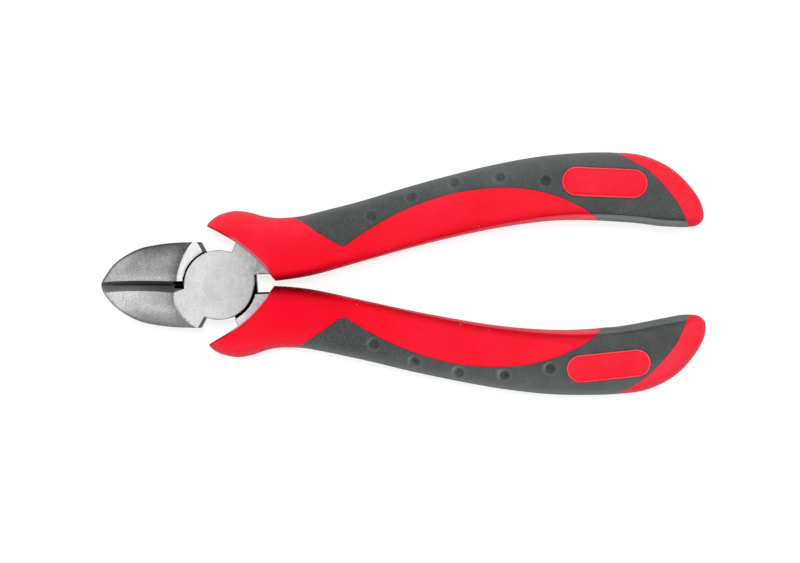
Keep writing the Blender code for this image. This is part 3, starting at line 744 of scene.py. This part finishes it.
def blade_shade(flip):
    """Painted shade on the blades: darker along the jaw's outer edge, a painted shadow line along the cut, and a
    painted gradient, the upper jaw darker outside, the lower one inside and at the tip of its bevel.
    """

    def mark(v):
        x, y = v[:, 0], -v[:, 1]
        # painted shade along the outer edge, where the crowned face turns away from the light
        skin = 0.3 * np.exp(-distance(v[:, :2], jaw_edge(flip)) / 1.0) * (0.2 + 0.8 * smooth(x, -30, -22))
        if flip:
            painted_gradient = 0.03 * smooth(x, -27, -21) + 0.31 * smooth(y, 1.6, 4.2) * smooth(x, -28, -22.5)
        else:
            painted_gradient = 0.09 * smooth(x, -28, -21) + 0.27 * smooth(x, -22.5, -15) * (1 - smooth(y, 4.2, 7.2)) + 0.14 * smooth(y, 5.5, 8.5)
            painted_gradient = painted_gradient + 0.3 * (1 - smooth(x, -30, -25)) * (1 - smooth(y, 1.3, 1.9))
        # painted shadow along the cutting line
        line = 0.8 * np.exp(-((y / 0.17) ** 2)) * smooth(x, -30.5, -26) * (1 - 0.6 * smooth(x, -15, -12.5))
        return np.clip(skin + painted_gradient + line, 0, 1) * (x < -5)

    return mark


for name, flip in (("lower_jaw_lever", False), ("upper_jaw_lever", True)):
    made = make_lever(flip).build("steel_" + name, [BAND_LIT if flip else GROUND, BLADE_UP_SHADED if flip else BLADE_LOW_LIT, BEVEL_UP_SHADED if flip else BEVEL_LOW_LIT, SIDE, SHADOW_BLACK, FACET], place_lever(flip), 32, {"grime": lever_steel_shade(-TILT if flip else TILT), "shade": blade_shade(flip)})
    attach(made, "moving_half" if flip else "fixed_half")
    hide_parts(name)


def make_rivet():
    """Turned rivet with two countersunk heads, ground flush."""
    r, h, c = RIVET_HEAD_R, HEAD_HALF, RIVET_CONE
    profile = [(0.6, h), (2.4, h), (r, h), (RIVET_R, h - c), (RIVET_R, 0.0)]
    profile += [(x, -y) for x, y in profile[-2::-1]]
    turn = np.linspace(0, 2 * math.pi, 97)[:-1]
    body = Body()
    rings = [[(x * math.cos(a), x * math.sin(a), y) for a in turn] for x, y in profile]
    for a, b in zip(rings[:-1], rings[1:]):
        for i in range(96):
            j = (i + 1) % 96
            body.face([a[i], b[i], b[j], a[j]])
    for cap, z in ((rings[0], h), (rings[-1], -h)):
        for i in range(96):
            body.face([(0, 0, z), cap[i], cap[(i + 1) % 96]])
    return body


# the rivet's top takes the same painted shade as the lever face around it
rivet = make_rivet().build("ground_rivet", [RIVET], place_lever(False), 12, {"grime": lambda v: np.maximum(0, lever_steel_shade(TILT)(v) - 0.05) * (v[:, 2] > 0)})
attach(rivet, "fixed_half")
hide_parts("pivot_rivet")


# ------------------------------------------------------------------ handles
def meet(line, edge):
    """Where a line crosses an edge: the place along each, counted in points."""
    r, s = (line[1:] - line[:-1])[:, None, :], (edge[1:] - edge[:-1])[None]
    w = edge[:-1][None] - line[:-1][:, None]
    den = r[..., 0] * s[..., 1] - r[..., 1] * s[..., 0]
    den = np.where(np.abs(den) < 1e-12, 1e-12, den)
    u = (w[..., 0] * s[..., 1] - w[..., 1] * s[..., 0]) / den
    v = (w[..., 0] * r[..., 1] - w[..., 1] * r[..., 0]) / den
    i, j = np.argwhere((u >= 0) & (u <= 1) & (v >= 0) & (v <= 1))[0]
    return i + u[i, j], j + v[i, j]


def at(line, place):
    i = min(int(place), len(line) - 2)
    return line[i] + (line[i + 1] - line[i]) * (place - i)


def span(line, start, stop, marks=()):
    """The stretch of a line between two places, with marked places kept as points."""
    keys = sorted([start, stop, *marks])
    own = [i for i in range(len(line)) if start < i < stop and min(np.hypot(*(line[i] - at(line, k))) for k in keys) > 0.18]
    return np.round(np.array([at(line, k) for k in sorted([*keys, *own])]), 3)


def extend(line, by=2.5):
    a, b = line[0] - line[1], line[-1] - line[-2]
    return np.vstack([line[0] + a / np.hypot(*a) * by, line, line[-1] + b / np.hypot(*b) * by])


EDGE_OUT, EDGE_IN, EDGE_FRONT = spline(OUTER, 0.7), spline(INNER, 0.7), spline(FRONT, 0.5)


class Handle:
    """One handle's seams and label window."""

    def __init__(self, side):
        self.seam, self.end = extend(spline(SEAM[side], 0.45)), extend(spline(END_SEAM[side], 0.45))
        self.pad_a, self.pad_b, self.pad_r = np.array(LABEL[side][0]), np.array(LABEL[side][1]), LABEL[side][2]

    def pad_distance(self, p):
        """Distance from the rim of the oval window, negative inside it."""
        ab = self.pad_b - self.pad_a
        u = np.clip(((p - self.pad_a) * ab).sum(1) / (ab**2).sum(), 0, 1)
        return np.hypot(*(p - self.pad_a - u[:, None] * ab).T) - self.pad_r

    def oval(self, grow, step):
        ab = self.pad_b - self.pad_a
        a = math.degrees(math.atan2(ab[1], ab[0]))
        r = self.pad_r + grow
        one, two = arc(r, a + 90, a + 270, step, self.pad_a), arc(r, a - 90, a + 90, step, self.pad_b)
        loop = np.vstack([one, evenly(np.array([one[-1], two[0]]), step)[1:-1], two, evenly(np.array([two[-1], one[0]]), step)[1:-1]])
        return np.round(loop, 3)


def round_out(x):
    return 2.6 + 1.0 * smooth(x, -2, 12) + 0.9 * smooth(x, 16, 45) - 1.3 * smooth(x, 100, 113)


def round_in(x):
    return 2.3 + 0.9 * smooth(x, 60, 110)


def strip_width(x):
    return 0.45 + 0.4 * smooth(x, 42, 72) + 0.75 * smooth(x, 70, 104)


def wall_share(x):
    """Where the inner flank is a drafted strip: between the throat and the nose."""
    return smooth(x, 27, 44) * (1 - smooth(x, 121, 126))


def flank(x, rounded, drafted):
    return rounded * round_in(x) + (drafted * strip_width(x) - rounded * round_in(x)) * wall_share(x)


def inner_rise(d, x):
    """Share of the full height across the inner flank: rounded at the ends, a low bead with a crisp riser between."""
    t = np.minimum(1, d / round_in(x))
    soft = (1 - (1 - t) ** 2.2) ** (1 / 2.2)
    w = strip_width(x)
    t = np.minimum(1, d / w)
    wall, face = 0.87 * (0.07 * t + 0.93 * (1 - (1 - t) ** (6.4 * w))) + np.maximum(0, d - w) / 3.0, 1 - 0.07 * np.clip(1 - (d - w) / 2.8, 0, 1) ** 2
    h = np.clip(0.5 + 0.5 * (face - wall) / 0.03, 0, 1)
    crisp = face + (wall - face) * h - 0.03 * h * (1 - h)
    return soft + (crisp - soft) * wall_share(x)


def face_level(x):
    return GUARD_TIP_HALF + (GUARD_HALF - GUARD_TIP_HALF) * smooth(x, -4, 9) + (HANDLE_HALF - GUARD_HALF) * smooth(x, 12, 32) - 1.2 * smooth(x, 119, 130)


def shell(p, inset=0.0, drop=0.0):
    """Half height of the handle's smooth form, or of the same form shrunk by a wall."""
    x = p[:, 0]
    do = np.maximum(0, distance(p, EDGE_OUT) - inset) / round_out(x)
    so = (1 - (1 - np.minimum(1, do)) ** 2.3) ** (1 / 2.3)
    z = (face_level(x) - drop) * so * inner_rise(np.maximum(0, distance(p, EDGE_IN) - inset), x)
    if not inset:
        df = distance(p, EDGE_FRONT)
        z = z * (1 - 0.10 * np.clip(1 - df / 0.8, 0, 1) ** 2)
    return z


def surface(p, h):
    """The outer skin: the form with softened seams, window edge and dimples."""
    z = shell(p)
    ds = np.minimum(distance(p, h.seam), distance(p, h.end))
    z = z - 0.16 * np.clip(1 - ds / 0.32, 0, 1) ** 2 * np.minimum(1, z / 2)
    z = z - 0.16 * np.clip(1 - np.abs(h.pad_distance(p)) / 0.32, 0, 1) ** 2
    for c in DIMPLES:
        r = np.hypot(*(p - np.array(c)).T)
        z = z - DIMPLE_DEPTH * np.clip(1 - (r / DIMPLE_R) ** 2, 0, 1) ** 1.5 + 0.06 * np.exp(-(((r - 1.7) / 0.22) ** 2))
    return z


def rim_points(loop):
    """Points in rows along the edges, close together where the form curves."""
    out = []
    bend = 1 - np.cos(np.radians([7, 16, 26, 36, 46, 56, 66, 76, 88]))
    steps = zip((0.012, 0.04, 0.085, 0.145, 0.22, 0.31, 0.41, 0.53, 0.67, 0.83, 1.02), (0.03, 0.09, 0.18, 0.32, 0.6, 0.9, 1.0, 1.1, 1.25, 1.7, 2.8))
    for line, inward, rows in (
        (EDGE_OUT, -1, [lambda x, k=k: k * round_out(x) for k in bend]),
        (EDGE_IN, 1, [lambda x, a=a, b=b: flank(x, a, b) for a, b in steps]),
        (EDGE_FRONT, -1, [lambda x, k=k: np.full(len(x), k) for k in (0.1, 0.27, 0.5, 0.8)]),
    ):
        n = normals(line) * inward
        for row in rows:
            d = row(line[:, 0])[:, None]
            q = line + n * d
            ok = inside(q, loop)
            for other in (EDGE_OUT, EDGE_IN, EDGE_FRONT):
                ok &= distance(q, other) > (0.93 * d[:, 0] if other is line else 0.35)
            out.append(q[ok])
    return np.vstack(out)


def plan_points(loop, seams, window=None):
    """All the free points over one region of a handle."""
    base = rim_points(loop)
    gx, gy = np.meshgrid(np.arange(-4, 130, 0.9), np.arange(0, 33, 0.78))
    gx = gx + 0.45 * (np.arange(gx.shape[0]) % 2)[:, None]
    g = np.c_[gx.ravel(), gy.ravel()]
    ok = inside(g, loop) & (distance(g, EDGE_OUT) > round_out(g[:, 0]) + 0.3) & (distance(g, EDGE_IN) > flank(g[:, 0], 1.02, 2.8) + 0.3) & (distance(g, EDGE_FRONT) > 1.2)
    free = np.vstack([base, g[ok]])
    near = np.min([distance(free, s) for s in seams], axis=0)
    free = free[near > 0.5]
    for s in seams:
        n = normals(s)
        for d in (-0.5, -0.28, -0.12, 0.12, 0.28, 0.5):
            q = s + n * d
            ok = inside(q, loop) & (np.min([distance(q, o) for o in seams], axis=0) > 0.9 * abs(d))
            for e in (EDGE_OUT, EDGE_IN):
                ok &= distance(q, e) > 0.1
            free = np.vstack([free, q[ok]])
    if window:
        free = free[np.abs(window.pad_distance(free)) > 0.45]
        for grow in (0.12, 0.3, 0.6):
            free = np.vstack([free, window.oval(grow, 0.4)])
        for c in DIMPLES:
            free = free[np.hypot(*(free - np.array(c)).T) > 1.95]
            rings = [arc(r, 0, 360, 2 * math.pi * r / 26, c)[:-1] for r in (0.3, 0.6, 0.85, 1.05, 1.2, 1.32, 1.43, 1.53, 1.63, 1.73, 1.85)]
            free = np.vstack([free, np.array([c]), *rings])
            ok = inside(free, loop)
            free = free[ok]
    return np.round(free, 3)


def inner_points(loop, edges, step=1.6):
    gx, gy = np.meshgrid(np.arange(10, 130, step), np.arange(0, 33, step))
    g = np.c_[gx.ravel(), gy.ravel()]
    ring = close(loop)
    g = g[inside(g, loop) & (distance(g, ring) > 0.8)]
    rows = []
    n = normals(loop, True)
    for d in (0.15, 0.5):
        q = loop + n * d
        rows.append(q[inside(q, loop) & (distance(q, ring) > 0.9 * d)])
    return np.round(np.vstack([g, *rows]), 3)


def seam_set(h, gap, wall):
    """The two seams at a gap from the joint line, with the places where they cross the edges and the wall's inner edges."""
    seam, end = h.seam + normals(h.seam) * gap, h.end + normals(h.end) * gap
    in_out, in_in = EDGE_OUT - normals(EDGE_OUT) * wall, EDGE_IN + normals(EDGE_IN) * wall
    a, b = meet(seam, EDGE_OUT), meet(seam, EDGE_IN)
    c, d = meet(end, EDGE_IN), meet(end, EDGE_OUT)
    a2, b2 = meet(seam, in_out), meet(seam, in_in)
    c2, d2 = meet(end, in_in), meet(end, in_out)
    return {
        "seam": span(seam, a[0], b[0], (a2[0], b2[0])),
        "end": span(end, c[0], d[0], (c2[0], d2[0])),
        "seam_core": span(seam, a[0], b[0], (a2[0], b2[0])),
        "in_seam": span(seam, a2[0], b2[0]),
        "in_end": span(end, c2[0], d2[0]),
        "out_mid": span(EDGE_OUT, a[1], d[1]),
        "in_mid": span(EDGE_IN, b[1], c[1]),
        "out_front": span(EDGE_OUT, 0, a[1]),
        "in_front": span(EDGE_IN, 0, b[1]),
        "out_rear": span(EDGE_OUT, d[1], len(EDGE_OUT) - 1),
        "in_rear": span(EDGE_IN, c[1], len(EDGE_IN) - 1),
        "wall_out": span(in_out, a2[1], d2[1]),
        "wall_in": span(in_in, b2[1], c2[1]),
    }


def chain(*lines):
    loop = np.vstack([l[:-1] for l in lines])
    return loop


def inner_skin(s, wall, drop, holes=()):
    """Region under the soft shell, its rim lying in the parting plane."""
    loop = chain(s["in_seam"], s["wall_in"], s["in_end"], s["wall_out"][::-1])
    pts = inner_points(loop, None)
    for h in holes:
        pts = pts[distance(pts, close(h)) > 0.3]
        pts = pts[~inside(pts, h)]
    p, t = triangulate([loop, *holes], [], pts)
    z = np.maximum(0.02, shell(p, wall, drop))
    edge = {tuple(a) for a in np.vstack([s["wall_in"], s["wall_out"]])}
    z = np.array([0.0 if tuple(a) in edge else b for a, b in zip(p, z)])
    return p, t, z


def seam_walls(body, s, level, inner, flip, slot):
    """Walls along both seams between the outer skin and the skin under it."""
    for key in ("seam", "end"):
        line = s[key]
        low = np.array([inner.get(tuple(a), 0.0) for a in line])
        high = np.array([level[tuple(a)] for a in line])
        body.wall(line, high, low, slot, flip)
        body.wall(line, -low, -high, slot, flip)


def levels(p, z):
    return {tuple(a): b for a, b in zip(p, z)}


def flat_rims(p, z, *rims):
    edge = {tuple(a) for r in rims for a in r}
    return np.array([0.0 if tuple(a) in edge else b for a, b in zip(p, z)])


def make_grip(h):
    wall = GRIP_WALL - FIT / 2
    s = seam_set(h, HAIRLINE, wall)
    loop = chain(s["seam"], s["in_mid"], s["end"], s["out_mid"][::-1])
    window = h.oval(0.04, 0.4)
    p, t = triangulate([loop, window], [], plan_points(loop, [s["seam"], s["end"]], h))
    z = flat_rims(p, np.maximum(0.03, surface(p, h)), s["in_mid"], s["out_mid"])
    body = Body()
    body.skin(p, t, z, True)
    body.skin(p, t, -z, False)
    q, u, w = inner_skin(s, wall, wall, [window])
    body.skin(q, u, w, False)
    body.skin(q, u, -w, True)
    high, low = levels(p, z), levels(q, w)
    seam_walls(body, s, high, low, False, 0)
    ring = close(window)
    a, b = np.array([high[tuple(k)] for k in ring]), np.array([low[tuple(k)] for k in ring])
    body.wall(ring, a, b, 0, True)
    body.wall(ring, -b, -a, 0, True)
    return body


def make_core(h):
    wall = GRIP_WALL + FIT / 2
    s = seam_set(h, 0.0, wall)
    body = Body()
    front = np.round(EDGE_FRONT, 3)
    front[0], front[-1] = s["in_front"][0], s["out_front"][0]
    high = {}
    for loop, rims, seam in (
        (chain(s["in_front"], s["seam"][::-1], s["out_front"][::-1], front[::-1]), (s["in_front"], s["out_front"]), s["seam"]),
        (chain(s["in_rear"], s["out_rear"][::-1], s["end"][::-1]), (s["in_rear"], s["out_rear"]), s["end"]),
    ):
        p, t = triangulate([loop], [], plan_points(loop, [seam]))
        z = flat_rims(p, np.maximum(0.03, surface(p, h)), *rims)
        body.skin(p, t, z, True)
        body.skin(p, t, -z, False)
        high.update(levels(p, z))
    q, u, w = inner_skin(s, wall, wall)
    body.skin(q, u, w, True)
    body.skin(q, u, -w, False)
    seam_walls(body, s, high, levels(q, w), True, 0)
    z = np.array([high[tuple(a)] for a in front])
    step = np.minimum(0.3, z * 0.3)
    body.wall(front, z, z - step, 0, True)
    body.wall(front, z - step, step - z, 0, True)
    body.wall(front, step - z, -z, 0, True)
    return body


def make_pad(h):
    """Oval plate flush in the window, with a low rounded bead around its rim, the bead painted paler as a highlight."""
    loop = h.oval(-0.02, 0.3)
    body = Body()
    pts = [h.oval(-d, 0.35) for d in (0.07, 0.16, 0.27, 0.4, 0.5, 0.6, 0.7, 0.85, 1.15)]
    gx, gy = np.meshgrid(np.arange(90, 116, 0.8), np.arange(18, 30, 0.7))
    g = np.c_[gx.ravel() + 0.001, gy.ravel() + 0.001]
    pts.append(g[h.pad_distance(g) < -1.5])
    p, t = triangulate([loop], [], np.round(np.vstack(pts), 3))
    d = -h.pad_distance(p)
    z = shell(p) - 0.22 * np.clip(1 - d / 0.22, 0, 1) ** 2 + 0.06 * np.exp(-(((d - 0.32) / 0.16) ** 2)) - 0.07 * np.exp(-(((d - 0.6) / 0.13) ** 2)) + 0.02 * smooth(d, 1, 4)
    rim = (-h.pad_distance(p[t].mean(1)) < 0.42).astype(int)
    body.skin(p, t, z, True, rim)
    base = shell(p) - (GRIP_WALL - FIT / 2)
    body.skin(p, t, base, False)
    ring = close(loop)
    a, b = levels(p, z), levels(p, base)
    body.wall(ring, np.array([a[tuple(k)] for k in ring]), np.array([b[tuple(k)] for k in ring]), 1)
    return body


def handle_wear(v):
    """Rubbed along the inner edge, where the fingers and the other handle pass."""
    d = distance(v[:, :2], EDGE_IN)
    return np.exp(-(((d - 1.2) / 0.7) ** 2))


def off_middle(v, least):
    """Full near the two faces, and only the least share around the middle of the flanks."""
    return least + (1 - least) * smooth(np.abs(v[:, 2]), 1.6, 4.4)


def handle_sheen(reach, edge, rich, plain, nose):
    """Painted sheen: paler towards the outer edge, over the end piece and along the inner strip, richest around the
    throat.
    """

    def mark(v):
        x = v[:, 0]
        d, end = distance(v[:, :2], EDGE_OUT), smooth(x, 104, 112)
        strip = 0.6 * (1 - smooth(distance(v[:, :2], EDGE_IN) / strip_width(x), 0.4, 1.05)) * smooth(x, 30, 60) * (1 - end)
        body = plain + 0.07 * smooth(x, 62, 90) - rich * smooth(x, 6, 16) * (1 - smooth(x, 24, 50))
        return np.clip(np.exp(-d / reach) * edge * off_middle(v, 0.5) * (1 - 0.85 * end) + body * (1 - end) + nose * end + strip * off_middle(v, 0.2), 0, 1)

    return mark


def handle_painted_highlight(share, width, bead):
    """Painted highlights: a pale line on the guard's front edge beside the neck, a pale bead along the inner flank and
    a pale outer rim at the end.
    """

    def mark(v):
        x = v[:, 0]
        line = share * (1 - smooth(distance(v[:, :2], EDGE_FRONT), 0.08, width)) * smooth(x, 2, 5) * (1 - smooth(x, 12, 14))
        bead_sheen = bead * (1 - smooth(distance(v[:, :2], EDGE_IN) / strip_width(x), 0.35, 1.0)) * smooth(x, 30, 55) * (1 - smooth(x, 104, 112))
        rim = 0.09 * (1 - smooth(distance(v[:, :2], EDGE_OUT), 0.1, 1.1)) * smooth(x, 104, 112)
        return np.maximum(line, np.maximum(bead_sheen, rim) * off_middle(v, 0.1))

    return mark


def handle_shade(throat, reach, crease, front):
    """Painted shade along the crease of the inner flank, most of all in the throat, and dark painted lines along the
    guard's front edge.
    """

    def mark(v):
        d, x = distance(v[:, :2], EDGE_IN), v[:, 0]
        one = throat * (1 - smooth(x, 19, 40)) * np.exp(-((d / reach) ** 2))
        two = crease * smooth(x, 26, 44) * (1 - smooth(x, 120, 125)) * np.exp(-(((d - strip_width(x) - 0.3) / 0.9) ** 2))
        lip = distance(v[:, :2], EDGE_FRONT)
        three = 0.75 * (1 - smooth(x, 3, 7)) * (1 - smooth(lip, 0.1, 0.5))
        four = front * smooth(x, 3, 7) * (1 - smooth(lip, 0.4, 1.3))
        return np.maximum(np.maximum(one, two), np.maximum(three, four))

    return mark


def pad_groove_shade(h):
    """Painted shade in the groove inside the plate's bead."""
    return lambda v: 0.16 * np.exp(-(((-h.pad_distance(v[:, :2]) - 0.6) / 0.16) ** 2))


def grip_sheen(strip, edge, ring):
    """Painted sheen towards the outer edge and on the inner strip, and painted highlights on the rims of the dimples,
    most on their front side.
    """

    def mark(v):
        d, x = distance(v[:, :2], EDGE_IN), v[:, 0]
        out = edge * np.exp(-distance(v[:, :2], EDGE_OUT) / 2.3) * off_middle(v, 0.6) + strip * (1 - smooth(d - strip_width(x), -0.25, 0.05)) * (x > 90) * off_middle(v, 0.3)
        for c in DIMPLES:
            q = v[:, :2] - np.array(c)
            r = np.hypot(*q.T)
            front = np.clip(-(0.85 * q[:, 0] + 0.53 * q[:, 1]) / np.maximum(r, 1e-6), 0, 1)
            out = out + (0.14 + ring * front**3) * np.exp(-(((r - 1.68) / 0.24) ** 2))
        return np.clip(out, 0, 1)

    return mark


def grip_shade(front, dimple_shade):
    """Painted shade in the dimples, set a little to one side, and over the inner side, and darker towards the front
    end.
    """

    def mark(v):
        d = distance(v[:, :2], EDGE_OUT)
        tip = front * (1 - smooth(v[:, 0], 30, 78)) * (0.25 + 0.75 * smooth(d, 0, 4.5))
        out = np.clip(tip + 0.2 * smooth(d, 2.5, 7.5) * smooth(v[:, 0], 40, 70), 0, 1)
        for c in DIMPLES:
            out = np.maximum(out, dimple_shade * (1 - smooth(np.hypot(*(v[:, :2] - np.array(c) - (0.2, 0)).T), 0.6, 1.55)))
        return out

    return mark


def cut_seat(core, flip):
    """Cuts the seat of the neck and of the tang out of a core, as close as the moulding lies on them."""
    tilt = -TILT if flip else TILT
    low = 0.25 if flip else 0.0
    neck = [(6.5, 2.46 - low), (15, 2.46 - low), (19.02, 3.36 - low), (24.1, 5.6 - low), (24.1, 13.4), (23.1, 14.45), (14, 14.24), (7.98, 13.35), (5.36, 12.34), (4.7, 10.87), (3.0, 7.0)]
    line = spline(TANG_LINE, 2.0)
    half = np.linspace(*TANG_WIDTH, len(line))[:, None] + 0.04
    side = normals(line)
    ahead = rotate(side[-1], -math.pi / 2)[0]
    tang = np.vstack([[(22, 4.6 - low), (23, 5.12 - low)], line - side * half, [line[-1] + ahead * 1.25 - side[-1] * 1.95], [line[-1] + ahead * 1.25 + side[-1] * 1.95], (line + side * half)[:0:-1], [(23.4, 14.5), (22, 14.47)]])
    for outline, z in ((np.array(neck), HEAD_HALF + 0.03), (tang, TANG_HALF + 0.04)):
        loop = np.round(rotate(outline, tilt), 3)
        p, t = triangulate([loop], [], np.zeros((0, 2)))
        tool = Body()
        tool.skin(p, t, np.full(len(p), z), True)
        tool.skin(p, t, np.full(len(p), -z), False)
        tool.wall(close(loop), np.full(len(loop) + 1, z), np.full(len(loop) + 1, -z))
        seat = tool.build("seat", [RED], place_lever(flip))
        cut = core.modifiers.new("seat", "BOOLEAN")
        cut.operation, cut.solver, cut.object = "DIFFERENCE", "EXACT", seat
        bpy.context.view_layer.objects.active = core
        bpy.ops.object.modifier_apply(modifier="seat")
        bpy.data.objects.remove(seat)
    core.data.shade_smooth()
    core.data.set_sharp_from_angle(angle=math.radians(42))


for side, flip in (("upper", False), ("lower", True)):
    body = "moving_half" if flip else "fixed_half"
    place = place_handle(flip)
    h = Handle(side)
    # the core's marks other than wear, and the grip's marks, carry painted sheen, painted shade and painted highlights
    core_marks = {"wear": handle_wear, "tone": handle_sheen(1.5, 0.95, 0.08, 0.09, 0.44) if flip else handle_sheen(2.6, 0.74, 0.06, 0.11, 0.34), "deep": handle_shade(0.95, 2.5, 0.42, 0.2) if flip else handle_shade(0.6, 1.5, 0.2, 0.36), "painted_highlight": handle_painted_highlight(1.0, 0.4, 0.12) if flip else handle_painted_highlight(0.4, 0.95, 0.13)}
    grip_marks = {"tone": grip_sheen(0.55, 0.78, 0.85) if flip else grip_sheen(1.0, 0.5, 0.15), "deep": grip_shade(0.66, 0.88) if flip else grip_shade(0.5, 0.64)}
    for source, node, mats, slot, marks in ((make_core(h), "handle_core", [RED], "red_core", core_marks), (make_grip(h), "soft_grip", [SOFT], "soft_grip", grip_marks)):
        made = source.build("moulded_%s_%s" % (side, node), mats, place, 42, marks)
        if node == "handle_core":
            cut_seat(made, flip)
        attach(made, body)
        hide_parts("%s_%s" % (side, node))
    pad = make_pad(h)
    for face in ("front", "back"):
        node = "%s_label_inlay_%s" % (side, face)
        low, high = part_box(node)
        over = (low[2] + high[2]) / 2 > PIVOT[2] * MM
        made = pad.build("moulded_" + node, [RED_PAD, RED_RIM_HIGHLIGHT], (lambda v: place(v * np.array([1, 1, -1]))) if over == flip else place, 42, {"deep": pad_groove_shade(h)})
        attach(made, body)
        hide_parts(node)


# ------------------------------------------------------------------ studio
def studio():
    floor_mat = bpy.data.materials.new("studio_floor")
    floor_mat.use_nodes = True
    shader = floor_mat.node_tree.nodes["Principled BSDF"]
    shader.inputs["Base Color"].default_value = (0.27, 0.27, 0.27, 1)
    shader.inputs["Roughness"].default_value = 0.9
    shader.inputs["Specular IOR Level"].default_value = 0.0
    shader.inputs["Emission Color"].default_value = (1, 1, 1, 1)
    shader.inputs["Emission Strength"].default_value = 0.785
    mesh = bpy.data.meshes.new("studio_floor")
    mesh.from_pydata([(-3, -3, -0.0001), (3, -3, -0.0001), (3, 3, -0.0001), (-3, 3, -0.0001)], [], [(0, 1, 2, 3)])
    mesh.materials.append(floor_mat)
    floor = bpy.data.objects.new("studio_floor", mesh)
    bpy.context.scene.collection.objects.link(floor)

    world = bpy.data.worlds.new("studio_dome")
    world.use_nodes = True
    tree = world.node_tree
    back = tree.nodes["Background"]
    coords = tree.nodes.new("ShaderNodeTexCoord")
    split = tree.nodes.new("ShaderNodeVectorMath")
    split.operation = "DOT_PRODUCT"
    split.inputs[1].default_value = (0.0, 0.12, 0.993)
    tree.links.new(coords.outputs["Generated"], split.inputs[0])
    tone = ramp(tree, split.outputs["Value"], [(0.0, gray(0.32)), (0.26, gray(0.36)), (0.5, gray(0.43)), (0.707, gray(0.58)), (0.866, gray(0.86)), (1.0, gray(0.93))])
    tree.links.new(tone, back.inputs["Color"])
    back.inputs["Strength"].default_value = 1.2
    bpy.context.scene.world = world

    lamp = bpy.data.lights.new("overhead_softbox", "SUN")
    lamp.energy = 1.35
    lamp.angle = math.radians(10)
    key = bpy.data.objects.new("overhead_softbox", lamp)
    key.rotation_euler = (math.radians(-8.5), 0, 0)
    bpy.context.scene.collection.objects.link(key)

    camera = bpy.data.cameras.new("camera")
    camera.sensor_width = 36
    camera.lens = 36 * 0.75 / 0.2128
    camera.clip_end = 20
    eye = bpy.data.objects.new("camera", camera)
    eye.location = (-0.70 * MM, -2.08 * MM, 0.757)
    bpy.context.scene.collection.objects.link(eye)
    bpy.context.scene.camera = eye
    bpy.context.scene.view_settings.view_transform = "Standard"
    bpy.context.scene.view_settings.look = "None"


studio()
